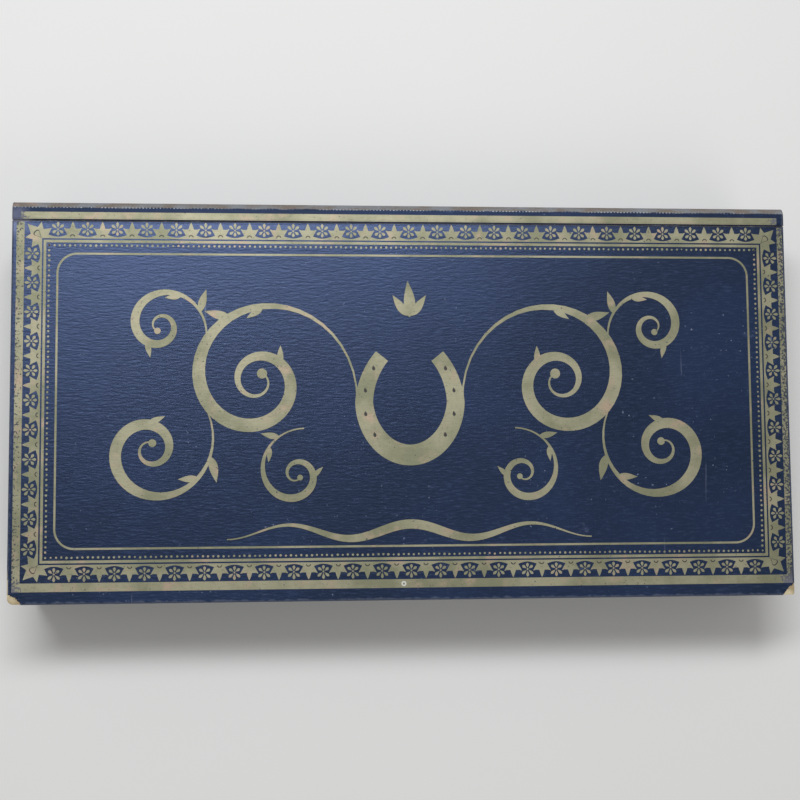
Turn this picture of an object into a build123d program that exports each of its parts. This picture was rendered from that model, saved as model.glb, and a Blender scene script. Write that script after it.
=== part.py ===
"""A boxed steeplechase race game driven by a crank.

The closed case is a book-like box: a hinged pasteboard cover with a printed
paper, a hinge rail along the back, and a shallow wooden tray. Inside, four
horses on wire arms circle a round course. The arms sit between felt washers
on one spindle, so each can slip, and a crank turns the spindle through a
train of three gears under the deck.

The origin is the middle of the underside. +Z is up, +X runs along the case,
and +Y points to the hinge. All sizes are in millimetres.
"""

import math
import os

from build123d import *

os.makedirs("parts", exist_ok=True)


def save(builder, name):
    """Label the piece and write it as its own STEP file."""
    builder.part.label = name
    export_step(builder.part, f"parts/{name}.step")


# ---------------------------------------------------------------- the case
case_length = 508.0  # along X: 20 inches
case_width = 258.0  # along Y, spine cloth included
case_height = 76.0  # 3 inches, closed
paper = 0.3  # covering papers and cloths
bottom_thick = 3.0  # pasteboard under the tray
lid_thick = 2.7  # pasteboard of the cover
wall_thick = 6.0  # poplar walls
board_overhang = 3.0  # the boards stand proud of the walls
spine_thick = 2.5
floor_thick = 4.0
crease_from_back = 12.6  # the cover folds this far from the spine
hinge_gap = 0.6  # between the cover board and the hinge rail
rail_top_radius = 5.5  # rounded outer edge of the hinge rail
rail_deep = 9.7  # height of the hinge rail
cover_corner_radius = 1.5
crushed_corner_radius = 4.0  # the cover's front left corner is knocked round
brad_r = 0.7
brad_long = 14.0
brad_heights = (16.0, 38.0, 60.0)

front = -case_width / 2
back = case_width / 2
half_length = case_length / 2
lid_top = case_height - paper
lid_under = lid_top - lid_thick
crease_y = back - crease_from_back
lid_back = crease_y - hinge_gap / 2
rail_front = crease_y + hinge_gap / 2
rail_under = lid_top - rail_deep
spine_out = back - paper
spine_in = spine_out - spine_thick
wall_x = half_length - board_overhang
wall_front = front + board_overhang
inside_x = wall_x - wall_thick
inside_front = wall_front + wall_thick
inside_back = spine_in - wall_thick
floor_top = bottom_thick + floor_thick

# ---------------------------------------------------------------- the deck
deck_under = 20.0
deck_thick = 4.0
deck_play = 0.4  # the deck drops in with this much room all round
deck_top = deck_under + deck_thick
batten_wide = 8.0
cloth_thick = 0.6
ground = deck_top + cloth_thick

# ------------------------------------------------------------ the gear train
module = 1.25
pressure_angle = math.radians(20)
backlash = 0.16  # taken off each tooth's thickness at the pitch circle
root_depth = 1.35  # dedendum in modules
gear_low = 10.0
gear_thick = 3.0
gear_top = gear_low + gear_thick
crank_teeth = 96
idler_teeth = 82
pinion_teeth = 24
idler_x = module * (pinion_teeth + idler_teeth) / 2
crank_x = idler_x + module * (idler_teeth + crank_teeth) / 2
running_play = 0.05  # radial, between a shaft and its bush
snug_play = 0.02  # radial, between a shaft and what is fixed on it

# ------------------------------------------------------- spindle and horses
lanes = 4
lane_inner = 40.0
lane_pitch = 20.0
spindle_r = 2.0
stack_low = 58.0  # underside of the lowest felt washer
stack_pitch = 2.4
felt_thick = 0.5
hub_thick = 1.8
hub_r = 6.5
wire_r = 0.75
wire_bend = 4.0
horse_ground = 32.0  # height of the lowest hoof
horse_angles = (252.0, 290.0, 232.0, 270.0)  # where each horse stands at rest
socket_back = 6.2  # the wire enters this far behind the horse's middle
fence_height = 6.0
fence_angles = (45.0, 135.0, 225.0)
water_angle = 315.0
rail_r = 116.0
inner_rail_r = 22.0

# ---------------------------------------------------------------- the crank
shaft_r = 4.0
crank_throw = 38.0
arm_low = 31.2
arm_thick = 3.0
arm_top = arm_low + arm_thick
square_side = 5.6
knob_low = arm_top + 0.4
knob_high = 62.0

# ------------------------------------------------------- stakes and counters
divider_x = 120.5  # inner faces of the two dividers
divider_thick = 3.0
cross_y = -3.0
runner_wide = 4.0
runner_low = 38.0
runner_high = 46.0
divider_top = runner_high
groove_deep = 2.0
slide_low = 40.8
slide_thick = 2.6
slide_play = 0.2
counter_r = 7.0
counter_thick = 1.8
counters_in_row = 14
counter_rows = 4


# =============================================================== the case
def make_bottom_board():
    with BuildPart() as board:
        with BuildSketch():
            with Locations((0, (front + spine_out) / 2)):
                RectangleRounded(case_length, spine_out - front, cover_corner_radius)
        extrude(amount=bottom_thick)
    save(board, "bottom_board")


def make_tray_floor():
    with BuildPart() as floor:
        with BuildSketch(Plane.XY.offset(bottom_thick)):
            with Locations((0, (inside_front + inside_back) / 2)):
                Rectangle(2 * inside_x, inside_back - inside_front)
        extrude(amount=floor_thick)
    save(floor, "tray_floor")


def brad_pins(radius):
    """Cylinders through the front wall's ends into the end walls' edges."""
    mid = inside_x + wall_thick / 2
    with BuildPart() as pins:
        with BuildSketch(Plane.XZ.offset(-wall_front)):
            with Locations(*[(x, z) for x in (-mid, mid) for z in brad_heights]):
                Circle(radius)
        extrude(amount=-brad_long)
    return pins.part


def make_long_walls():
    with BuildPart() as wall:
        with BuildSketch(Plane.XY.offset(bottom_thick)):
            with Locations((0, wall_front + wall_thick / 2)):
                Rectangle(2 * wall_x, wall_thick)
        extrude(amount=lid_under - bottom_thick)
        add(brad_pins(brad_r + snug_play), mode=Mode.SUBTRACT)
    save(wall, "front_wall")

    with BuildPart() as wall:
        with BuildSketch(Plane.XY.offset(bottom_thick)):
            with Locations((0, inside_back + wall_thick / 2)):
                Rectangle(2 * inside_x, wall_thick)
        extrude(amount=rail_under - bottom_thick)
    save(wall, "back_wall")


def make_end_wall(name, side):
    """A short wall, stepped down at the back to carry the hinge rail."""
    with BuildPart() as wall:
        with BuildSketch(Plane.YZ.offset(side * inside_x)):
            with BuildLine():
                Polyline(
                    (inside_front, bottom_thick),
                    (spine_in, bottom_thick),
                    (spine_in, rail_under),
                    (rail_front, rail_under),
                    (rail_front, lid_under),
                    (inside_front, lid_under),
                    close=True,
                )
            make_face()
        extrude(amount=side * wall_thick)
        add(brad_pins(brad_r + snug_play), mode=Mode.SUBTRACT)
    save(wall, name)


def make_hinge_rail():
    """The fixed strip behind the fold, its outer edge rounded like a book's spine."""
    with BuildPart() as rail:
        with BuildSketch(Plane.YZ.offset(-half_length)):
            with Locations(((rail_front + spine_out) / 2, (rail_under + lid_top) / 2)):
                Rectangle(spine_out - rail_front, rail_deep)
        extrude(amount=case_length)
        outer = rail.edges().filter_by(Axis.X).group_by(Axis.Z)[-1].sort_by(Axis.Y)[-1]
        fillet(outer, rail_top_radius)
    save(rail, "hinge_rail")


def make_spine():
    with BuildPart() as board:
        with BuildSketch(Plane.XY.offset(bottom_thick)):
            with Locations((0, (spine_in + spine_out) / 2)):
                Rectangle(2 * wall_x, spine_thick)
        extrude(amount=rail_under - bottom_thick)
    save(board, "spine_board")

    turn_y = spine_out - rail_top_radius
    turn_z = lid_top - rail_top_radius
    outer_radius = rail_top_radius + paper
    slope = math.sqrt(0.5)
    with BuildPart() as cloth:
        with BuildSketch(Plane.YZ.offset(-half_length)):
            with BuildLine():
                Line((spine_out, 0), (spine_out, turn_z))
                ThreePointArc(
                    (spine_out, turn_z),
                    (turn_y + rail_top_radius * slope, turn_z + rail_top_radius * slope),
                    (turn_y, lid_top),
                )
                Line((turn_y, lid_top), (turn_y, case_height))
                ThreePointArc(
                    (turn_y, case_height),
                    (turn_y + outer_radius * slope, turn_z + outer_radius * slope),
                    (back, turn_z),
                )
                Polyline((back, turn_z), (back, 0), (spine_out, 0))
            make_face()
        extrude(amount=case_length)
    save(cloth, "spine_cloth")


def make_rail_paper():
    turn_y = spine_out - rail_top_radius
    with BuildPart() as sheet:
        with BuildSketch(Plane.XY.offset(lid_top)):
            with Locations((0, (rail_front + turn_y) / 2)):
                Rectangle(case_length, turn_y - rail_front)
        extrude(amount=paper)
    save(sheet, "rail_cover_paper")


def make_wall_covering():
    """The plain paper pasted round the front and both ends of the tray."""
    with BuildPart() as wrap:
        with BuildSketch(Plane.XY.offset(bottom_thick)):
            with BuildLine():
                Polyline(
                    (-wall_x, spine_in),
                    (-wall_x, wall_front),
                    (wall_x, wall_front),
                    (wall_x, spine_in),
                    (wall_x + paper, spine_in),
                    (wall_x + paper, wall_front - paper),
                    (-wall_x - paper, wall_front - paper),
                    (-wall_x - paper, spine_in),
                    close=True,
                )
            make_face()
        extrude(amount=rail_under - bottom_thick)
        with BuildSketch(Plane.XY.offset(rail_under)):
            with BuildLine():
                Polyline(
                    (-wall_x, rail_front),
                    (-wall_x, wall_front),
                    (wall_x, wall_front),
                    (wall_x, rail_front),
                    (wall_x + paper, rail_front),
                    (wall_x + paper, wall_front - paper),
                    (-wall_x - paper, wall_front - paper),
                    (-wall_x - paper, rail_front),
                    close=True,
                )
            make_face()
        extrude(amount=lid_under - rail_under)
    save(wrap, "wall_covering")


def make_wall_brads():
    brads = brad_pins(brad_r)
    brads.label = "wall_brads"
    export_step(brads, "parts/wall_brads.step")


# ================================================================ the lid
eyelet_x = -3.6
eyelet_y = front + 10.3  # at the outer gilt band's inner edge
eyelet_hole_r = 0.7
eyelet_tube_r = 1.1
eyelet_flange_r = 1.7
eyelet_rim = 0.25


def make_lid():
    lid_mid = (front + lid_back) / 2
    lid_deep = lid_back - front
    with BuildPart() as board:
        with BuildSketch(Plane.XY.offset(lid_under)):
            with Locations((0, lid_mid)):
                Rectangle(case_length, lid_deep)
        extrude(amount=lid_thick)
        front_corners = board.edges().filter_by(Axis.Z).group_by(Axis.Y)[0].sort_by(Axis.X)
        fillet(front_corners[0], crushed_corner_radius)
        fillet(front_corners[-1], cover_corner_radius)
        with Locations(Plane.XY.offset(lid_top)):
            with Locations((eyelet_x, eyelet_y)):
                Hole(eyelet_tube_r + snug_play)
    save(board, "lid_board")

    # the paper has come away at both front corners
    left_loss = (8.0, 6.0)
    right_loss = (7.5, 7.6)
    with BuildPart() as sheet:
        with BuildSketch(Plane.XY.offset(lid_top)):
            with BuildLine():
                Polyline(
                    (-half_length + left_loss[0], front),
                    (half_length - right_loss[0], front),
                    (half_length, front + right_loss[1]),
                    (half_length, lid_back),
                    (-half_length, lid_back),
                    (-half_length, front + left_loss[1]),
                    close=True,
                )
            make_face()
            with Locations((eyelet_x, eyelet_y)):
                Circle(eyelet_tube_r + snug_play, mode=Mode.SUBTRACT)
        extrude(amount=paper)
    save(sheet, "lid_cover_paper")

    lining_in = 8.0
    with BuildPart() as lining:
        with BuildSketch(Plane.XY.offset(lid_under - paper)):
            with Locations((0, (inside_front + lid_back - lining_in) / 2)):
                Rectangle(
                    2 * inside_x - 2 * deck_play, lid_back - inside_front - 2 * lining_in
                )
        extrude(amount=paper)
    save(lining, "lid_lining")

    with BuildPart() as eyelet:
        with BuildSketch(Plane.XZ):
            with BuildLine():
                Polyline(
                    (eyelet_hole_r, lid_under),
                    (eyelet_tube_r, lid_under),
                    (eyelet_tube_r, case_height),
                    (eyelet_flange_r, case_height),
                    (eyelet_flange_r - eyelet_rim, case_height + eyelet_rim),
                    (eyelet_hole_r, case_height + eyelet_rim),
                    close=True,
                )
            make_face()
        revolve(axis=Axis.Z)
    with BuildPart() as placed:
        with Locations((eyelet_x, eyelet_y, 0)):
            add(eyelet.part)
    save(placed, "lid_eyelet")

    # a strip of book cloth inside the fold, pasted to the lid and the rail
    leaf = 12.0
    fold_out = lid_back + paper
    with BuildPart() as cloth:
        with BuildSketch(Plane.YZ.offset(-inside_x + deck_play)):
            with BuildLine():
                Polyline(
                    (lid_back - leaf, lid_under),
                    (lid_back, lid_under),
                    (lid_back, lid_top - paper),
                    (fold_out, lid_top - paper),
                    (fold_out, lid_under - paper),
                    (lid_back - leaf, lid_under - paper),
                    close=True,
                )
            make_face()
        extrude(amount=2 * (inside_x - deck_play))
    save(cloth, "inner_hinge_cloth")


# =============================================================== the deck
bush_r = {"spindle": 5.0, "crank": 7.0}


def make_deck():
    deck_front = inside_front + deck_play
    deck_back = inside_back - deck_play
    with BuildPart() as battens:
        with BuildSketch(Plane.XY.offset(floor_top)):
            for y in (inside_front + batten_wide / 2, inside_back - batten_wide / 2):
                with Locations((0, y)):
                    Rectangle(2 * inside_x - 2 * deck_play, batten_wide)
        extrude(amount=deck_under - floor_top)
    save(battens, "deck_battens")

    screw_places = [
        (x, y)
        for x in (-232.0, -116.0, 116.0, 232.0)
        for y in (deck_front + batten_wide / 2, deck_back - batten_wide / 2)
    ]
    screw_r = 1.2
    with BuildPart() as deck:
        with BuildSketch(Plane.XY.offset(deck_under)):
            with Locations((0, (deck_front + deck_back) / 2)):
                Rectangle(2 * (inside_x - deck_play), deck_back - deck_front)
            Circle(bush_r["spindle"], mode=Mode.SUBTRACT)
            with Locations((crank_x, 0)):
                Circle(bush_r["crank"], mode=Mode.SUBTRACT)
            with Locations(*screw_places):
                Circle(screw_r + snug_play, mode=Mode.SUBTRACT)
        extrude(amount=deck_thick)
    save(deck, "deck_board")

    head_r = 2.4
    head_high = 1.2
    slot = 0.5
    with BuildPart() as screws:
        with BuildSketch(Plane.XY.offset(deck_under)):
            with Locations(*screw_places):
                Circle(screw_r)
        extrude(amount=deck_thick)
        with BuildSketch(Plane.XY.offset(deck_top)):
            with Locations(*screw_places):
                Circle(head_r)
        extrude(amount=head_high)
        chamfer(screws.edges().group_by(Axis.Z)[-1], 0.5)
        with BuildSketch(Plane.XY.offset(deck_top + head_high)):
            with Locations(*screw_places):
                Rectangle(2 * head_r, slot)
        extrude(amount=-slot, mode=Mode.SUBTRACT)
    save(screws, "deck_screws")


def make_course():
    cloth_r = rail_r + 2.0
    cloth_hole_r = 8.4  # clear of the spindle bush's flange
    with BuildPart() as cloth:
        with BuildSketch(Plane.XY.offset(deck_top)):
            Circle(cloth_r)
            Circle(cloth_hole_r, mode=Mode.SUBTRACT)
        extrude(amount=cloth_thick)
    save(cloth, "course_cloth")

    post_r = 0.9
    bar_r = 0.8
    rail_height = 8.0
    with BuildPart() as rails:
        for radius, posts in ((rail_r, 36), (inner_rail_r, 10)):
            with BuildSketch(Plane.XY.offset(ground)):
                with PolarLocations(radius, posts, start_angle=5):
                    Circle(post_r)
            extrude(amount=rail_height)
            with Locations((0, 0, ground + rail_height)):
                Torus(radius, bar_r)
    save(rails, "course_rails")


def fence_line(angle):
    """The upright plane that a fence stands in, X along the radius."""
    turn = math.radians(angle)
    out = (math.cos(turn), math.sin(turn), 0)
    return Plane(origin=(0, 0, 0), x_dir=out, z_dir=(out[1], -out[0], 0))


fence_in = 29.0
fence_out = 111.0
fence_thick = 4.0


def make_fences():
    """Brush fences: a low clipped hedge across every lane, with a rounded top."""
    middle = (fence_in + fence_out) / 2
    with BuildPart() as hedges:
        for angle in fence_angles:
            upright = fence_line(angle)
            with BuildSketch(upright.offset(-fence_thick / 2)):
                with Locations((middle, ground + fence_height / 2)):
                    RectangleRounded(fence_out - fence_in, fence_height, 1.4)
            extrude(amount=fence_thick)
    save(hedges, "brush_fences")

    pool_deep = 0.5
    pool_wide = 13.0
    with BuildPart() as pool:
        flat = Plane(
            origin=(0, 0, ground),
            x_dir=fence_line(water_angle).x_dir,
            z_dir=(0, 0, 1),
        )
        with BuildSketch(flat):
            with Locations((middle, pool_wide / 2 + fence_thick / 2)):
                RectangleRounded(fence_out - fence_in, pool_wide, 3.0)
        extrude(amount=pool_deep)
        with BuildSketch(fence_line(water_angle).offset(-fence_thick / 2)):
            with Locations((middle, ground + fence_height / 3)):
                RectangleRounded(fence_out - fence_in, fence_height / 1.5, 1.2)
        extrude(amount=fence_thick)
    save(pool, "water_jump")


def make_winning_post():
    post_at = (82.0, -104.0)
    post_r = 1.6
    foot_r = 5.0
    foot_high = 2.0
    disc_r = 7.0
    disc_z = 60.0
    disc_thick = 2.0
    with BuildPart() as post:
        with BuildSketch(Plane.XY.offset(deck_top)):
            with Locations(post_at):
                Circle(foot_r)
        extrude(amount=foot_high)
        fillet(post.edges().group_by(Axis.Z)[-1], 0.9)
        with BuildSketch(Plane.XY.offset(deck_top + foot_high)):
            with Locations(post_at):
                Circle(post_r)
        extrude(amount=disc_z - deck_top - foot_high)
        with BuildSketch(Plane.XZ.offset(-post_at[1] - disc_thick / 2)):
            with Locations((post_at[0], disc_z)):
                Circle(disc_r)
        extrude(amount=disc_thick)
    save(post, "winning_post")


# =========================================================== the gear train
def tooth_points(teeth):
    """Corner points of a whole gear, tooth by tooth, with one tooth on +X.

    The flank is an involute of the base circle, taken at three radii; the
    chords between them lie inside the true curve, so they never bind.
    """
    pitch_r = module * teeth / 2
    base_r = pitch_r * math.cos(pressure_angle)
    root_r = pitch_r - root_depth * module
    tip_r = pitch_r + module
    start_r = max(base_r, root_r)

    def involute(radius):
        roll = math.sqrt(max((radius / base_r) ** 2 - 1, 0))
        return roll - math.atan(roll)

    half_pitch = math.pi / (2 * teeth) - backlash / (2 * pitch_r)
    flank = [
        (radius, half_pitch + involute(pitch_r) - involute(radius))
        for radius in (start_r, (start_r + tip_r) / 2, tip_r)
    ]
    root = [(root_r, flank[0][1])] if root_r < start_r else []
    side = root + flank
    outline = [(r, -a) for r, a in side] + [(r, a) for r, a in reversed(side)]
    step = 2 * math.pi / teeth
    return [
        (r * math.cos(a + k * step), r * math.sin(a + k * step))
        for k in range(teeth)
        for r, a in outline
    ]


def make_gear(name, teeth, at_x, bore_r, turned, hub_radius, hub_high, spokes):
    """A crossed-out brass wheel; turned says how many tooth pitches it is set round."""
    pitch_r = module * teeth / 2
    turn = turned * 360 / teeth
    flat = Plane(origin=(at_x, 0, gear_low), x_dir=(1, 0, 0), z_dir=(0, 0, 1))
    hub_plane = flat.offset(gear_thick)
    with BuildPart() as gear:
        with BuildSketch(flat.rotated((0, 0, turn))):
            with BuildLine():
                Polyline(*tooth_points(teeth), close=True)
            make_face()
        extrude(amount=gear_thick)
        if spokes:
            rim_r = pitch_r - 6.5
            arm_half = 3.5
            with BuildSketch(flat):
                Circle(rim_r)
                Circle(hub_radius + 3.5, mode=Mode.SUBTRACT)
                with PolarLocations(rim_r / 2, spokes, start_angle=18):
                    Rectangle(rim_r + 4, 2 * arm_half, mode=Mode.SUBTRACT)
            extrude(amount=gear_thick, mode=Mode.SUBTRACT)
        if hub_high:
            with BuildSketch(hub_plane):
                Circle(hub_radius)
            extrude(amount=hub_high)
        with BuildSketch(flat):
            Circle(bore_r)
        extrude(amount=gear_thick + hub_high, mode=Mode.SUBTRACT)
    save(gear, name)


def make_turned(name, at_x, profile):
    """A turned piece: its half section, in (radius, height), spun about its axis."""
    with BuildPart() as turned:
        with BuildSketch(Plane(origin=(at_x, 0, 0), x_dir=(1, 0, 0), z_dir=(0, -1, 0))):
            with BuildLine():
                Polyline(*profile, close=True)
            make_face()
        revolve(axis=Axis(origin=(at_x, 0, 0), direction=(0, 0, 1)))
    save(turned, name)


step_floor = floor_top + 0.5  # the shafts stand on this
step_flange = floor_top + 1.6
step_top = gear_low - 0.5


def make_footstep(name, at_x, radius, flange_r):
    bore = radius + running_play
    make_turned(
        name,
        at_x,
        [
            (0, floor_top),
            (flange_r, floor_top),
            (flange_r, step_flange),
            (bore + 2.4, step_flange),
            (bore + 2.4, step_top),
            (bore, step_top),
            (bore, step_floor),
            (0, step_floor),
        ],
    )


def make_bush(name, at_x, radius, sleeve_r, flange_r):
    bore = radius + running_play
    flange_top = deck_top + 1.2
    make_turned(
        name,
        at_x,
        [
            (bore, deck_under - 1.0),
            (sleeve_r - snug_play, deck_under - 1.0),
            (sleeve_r - snug_play, deck_top),
            (flange_r, deck_top),
            (flange_r - 0.6, flange_top),
            (bore, flange_top),
        ],
    )


def make_train():
    make_footstep("spindle_footstep", 0, spindle_r, 11.0)
    make_footstep("crank_footstep", crank_x, shaft_r, 15.0)
    make_bush("spindle_bush", 0, spindle_r, bush_r["spindle"], 8.0)
    make_bush("crank_bush", crank_x, shaft_r, bush_r["crank"], 13.0)
    make_gear(
        "crank_gear", crank_teeth, crank_x, shaft_r + snug_play, 0, 9.0, 4.0, 5
    )
    make_gear(
        "idler_gear", idler_teeth, idler_x, 3.0 + running_play, 0.5, 7.0, 3.0, 5
    )
    make_gear(
        "spindle_pinion", pinion_teeth, 0, spindle_r + snug_play, 0, 7.0, 4.0, 0
    )
    stud_top = gear_top + 3.3
    make_turned(
        "idler_stud",
        idler_x,
        [
            (0, floor_top),
            (9.0, floor_top),
            (9.0, floor_top + 1.4),
            (5.0, floor_top + 1.4),
            (5.0, gear_low - 0.2),
            (3.0, gear_low - 0.2),
            (3.0, stud_top),
            (5.2, stud_top),
            (4.6, stud_top + 1.6),
            (0, stud_top + 1.6),
        ],
    )


# ================================================= spindle and friction stack
def hub_low(lane):
    return stack_low + felt_thick + 0.05 + lane * stack_pitch


def make_spindle():
    collar_r = 6.0
    collar_low = stack_low - 2.5
    stack_high = stack_low + lanes * stack_pitch + felt_thick
    rod_top = 71.6
    make_turned(
        "spindle",
        0,
        [
            (0, step_floor),
            (spindle_r, step_floor),
            (spindle_r, collar_low),
            (collar_r - 0.6, collar_low),
            (collar_r, collar_low + 0.6),
            (collar_r, stack_low),
            (spindle_r, stack_low),
            (spindle_r, rod_top),
            (0, rod_top),
        ],
    )

    with BuildPart() as felts:
        for k in range(lanes + 1):
            with BuildSketch(Plane.XY.offset(stack_low + k * stack_pitch)):
                Circle(hub_r - 1.0)
                Circle(spindle_r + snug_play, mode=Mode.SUBTRACT)
            extrude(amount=felt_thick)
    save(felts, "friction_washers")

    spring_high = stack_high + 1.0
    bore = spindle_r + snug_play
    make_turned(
        "spring_washer",
        0,
        [
            (bore, stack_high + 0.5),
            (5.2, stack_high),
            (5.2, stack_high + 0.4),
            (bore, spring_high),
        ],
    )
    nut_high = 72.2
    make_turned(
        "finial_nut",
        0,
        [
            (bore, spring_high),
            (4.6, spring_high),
            (4.6, spring_high + 2.0),
            (3.2, nut_high),
            (0, nut_high),
            (0, rod_top),
            (bore, rod_top),
        ],
    )


# ============================================================ horses on wires
def lane_radius(lane):
    return lane_inner + lane * lane_pitch


def wire_place(lane):
    """Radius and angle, in degrees, at which a lane's wire drops to its horse."""
    radius = lane_radius(lane)
    turned_back = math.degrees(math.atan2(socket_back, radius))
    return math.hypot(radius, socket_back), horse_angles[lane] - turned_back


socket_depth = 2.6
socket_top = horse_ground + 15.2  # where the wire meets the horse's croup


def make_arm(lane):
    """A brass collar with a wire that runs out over the lane and bends down."""
    reach, angle = wire_place(lane)
    low = hub_low(lane)
    wire_z = low + hub_thick / 2
    turn = math.radians(angle)
    out = (math.cos(turn), math.sin(turn), 0)
    upright = Plane(origin=(0, 0, 0), x_dir=out, z_dir=(out[1], -out[0], 0))
    start = hub_r - 1.5
    with BuildPart() as arm:
        with BuildLine(upright):
            FilletPolyline(
                (start, wire_z),
                (reach, wire_z),
                (reach, socket_top - socket_depth + 0.1),
                radius=wire_bend,
            )
        with BuildSketch(Plane(origin=upright.from_local_coords((start, wire_z)), z_dir=out)):
            Circle(wire_r)
        sweep()
        with BuildSketch(Plane.XY.offset(low)):
            Circle(hub_r)
            Circle(spindle_r + running_play, mode=Mode.SUBTRACT)
        extrude(amount=hub_thick)
    save(arm, f"horse_arm_{lane + 1}")


def section(at, lean, width, height):
    """An ellipse across the horse at (x, z), its plane leaning back by lean degrees."""
    x, y, z = at
    tilt = math.radians(lean)
    plane = Plane(
        origin=(x, y, z), x_dir=(0, 1, 0), z_dir=(math.cos(tilt), 0, math.sin(tilt))
    )
    with BuildSketch(plane) as ring:
        Ellipse(width, height)
    return ring.sketch


def limb(points, radii):
    """A tapering round limb through its joints, one cone for each bone."""
    with BuildPart() as bones:
        for start, end, r0, r1 in zip(points, points[1:], radii, radii[1:]):
            along = Vector(*end) - Vector(*start)
            foot = Plane(origin=start, z_dir=along.normalized())
            with BuildSketch(foot):
                Circle(r0)
            with BuildSketch(foot.offset(along.length)):
                Circle(r1)
            loft()
            with Locations(end):
                Sphere(r1)
    return bones.part


def make_horse_casting():
    """Horse and rider as one lead casting: a flying gallop, facing +X."""
    trunk = [
        ((-12.6, 0, 12.4), 0, 1.3, 1.5),
        ((-10.0, 0, 12.4), 0, 2.6, 3.1),
        ((-5.0, 0, 12.0), 0, 2.8, 3.4),
        ((0.0, 0, 11.6), 0, 2.6, 3.1),
        ((5.0, 0, 11.9), 0, 2.8, 3.5),
        ((9.0, 0, 12.6), 0, 2.3, 3.0),
        ((11.4, 0, 13.0), 0, 1.1, 1.5),
    ]
    neck = [
        ((7.0, 0, 13.0), 38, 1.9, 2.9),
        ((11.0, 0, 15.9), 38, 1.4, 2.1),
        ((14.6, 0, 18.6), 38, 1.1, 1.6),
    ]
    head = [
        ((13.2, 0, 18.9), -32, 1.1, 1.5),
        ((15.6, 0, 18.0), -32, 1.2, 1.6),
        ((19.6, 0, 15.6), -32, 0.8, 0.9),
    ]
    fore_side = 1.5
    hind_side = 1.6
    legs = [
        [(7.5, fore_side, 10.6), (13.2, fore_side, 8.6), (19.0, fore_side, 8.2)],
        [(7.5, -fore_side, 10.6), (13.6, -fore_side, 6.8), (18.2, -fore_side, 4.4)],
        [(-9.0, hind_side, 11.4), (-13.0, hind_side, 6.6), (-18.6, hind_side, 3.4)],
        [(-9.0, -hind_side, 11.4), (-11.6, -hind_side, 5.6), (-16.2, -hind_side, 1.0)],
    ]
    with BuildPart() as casting:
        for body in (trunk, neck, head):
            rings = [section(*station) for station in body]
            loft(rings)
        for points in legs:
            add(limb(points, (2.2, 1.2, 0.9)))
        add(limb([(-12.0, 0, 14.0), (-15.6, 0, 14.2), (-20.0, 0, 11.6)], (0.9, 1.1, 0.5)))
        # the rider crouches over the withers
        add(limb([(-2.2, 0, 17.0), (4.2, 0, 20.2)], (2.0, 2.1)))
        with Locations((-2.2, 0, 17.0), (0.4, 0, 15.6)):
            Sphere(2.0)
        with Locations((6.8, 0, 22.3)):
            Sphere(1.9)
        for side in (-1, 1):
            hip = (-1.8, 1.4 * side, 15.8)
            knee = (3.6, 3.1 * side, 13.6)
            foot = (0.8, 3.2 * side, 10.0)
            shoulder = (4.0, 1.8 * side, 19.8)
            hand = (9.0, 1.2 * side, 17.2)
            add(limb([hip, knee, foot], (1.3, 1.1, 0.8)))
            add(limb([shoulder, hand], (1.0, 0.8)))
        with BuildSketch(Plane.XY.offset(socket_top - horse_ground - socket_depth)):
            with Locations((-socket_back, 0)):
                Circle(wire_r + snug_play)
        extrude(amount=socket_depth + 10, mode=Mode.SUBTRACT)
    return casting.part


def make_horses():
    casting = make_horse_casting()
    for lane in range(lanes):
        radius = lane_radius(lane)
        angle = horse_angles[lane]
        turn = math.radians(angle)
        place = Location(
            (radius * math.cos(turn), radius * math.sin(turn), horse_ground),
            (0, 0, angle + 90),
        )
        with BuildPart() as horse:
            with Locations(place):
                add(casting)
        save(horse, f"horse_and_rider_{lane + 1}")
        make_arm(lane)


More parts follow.
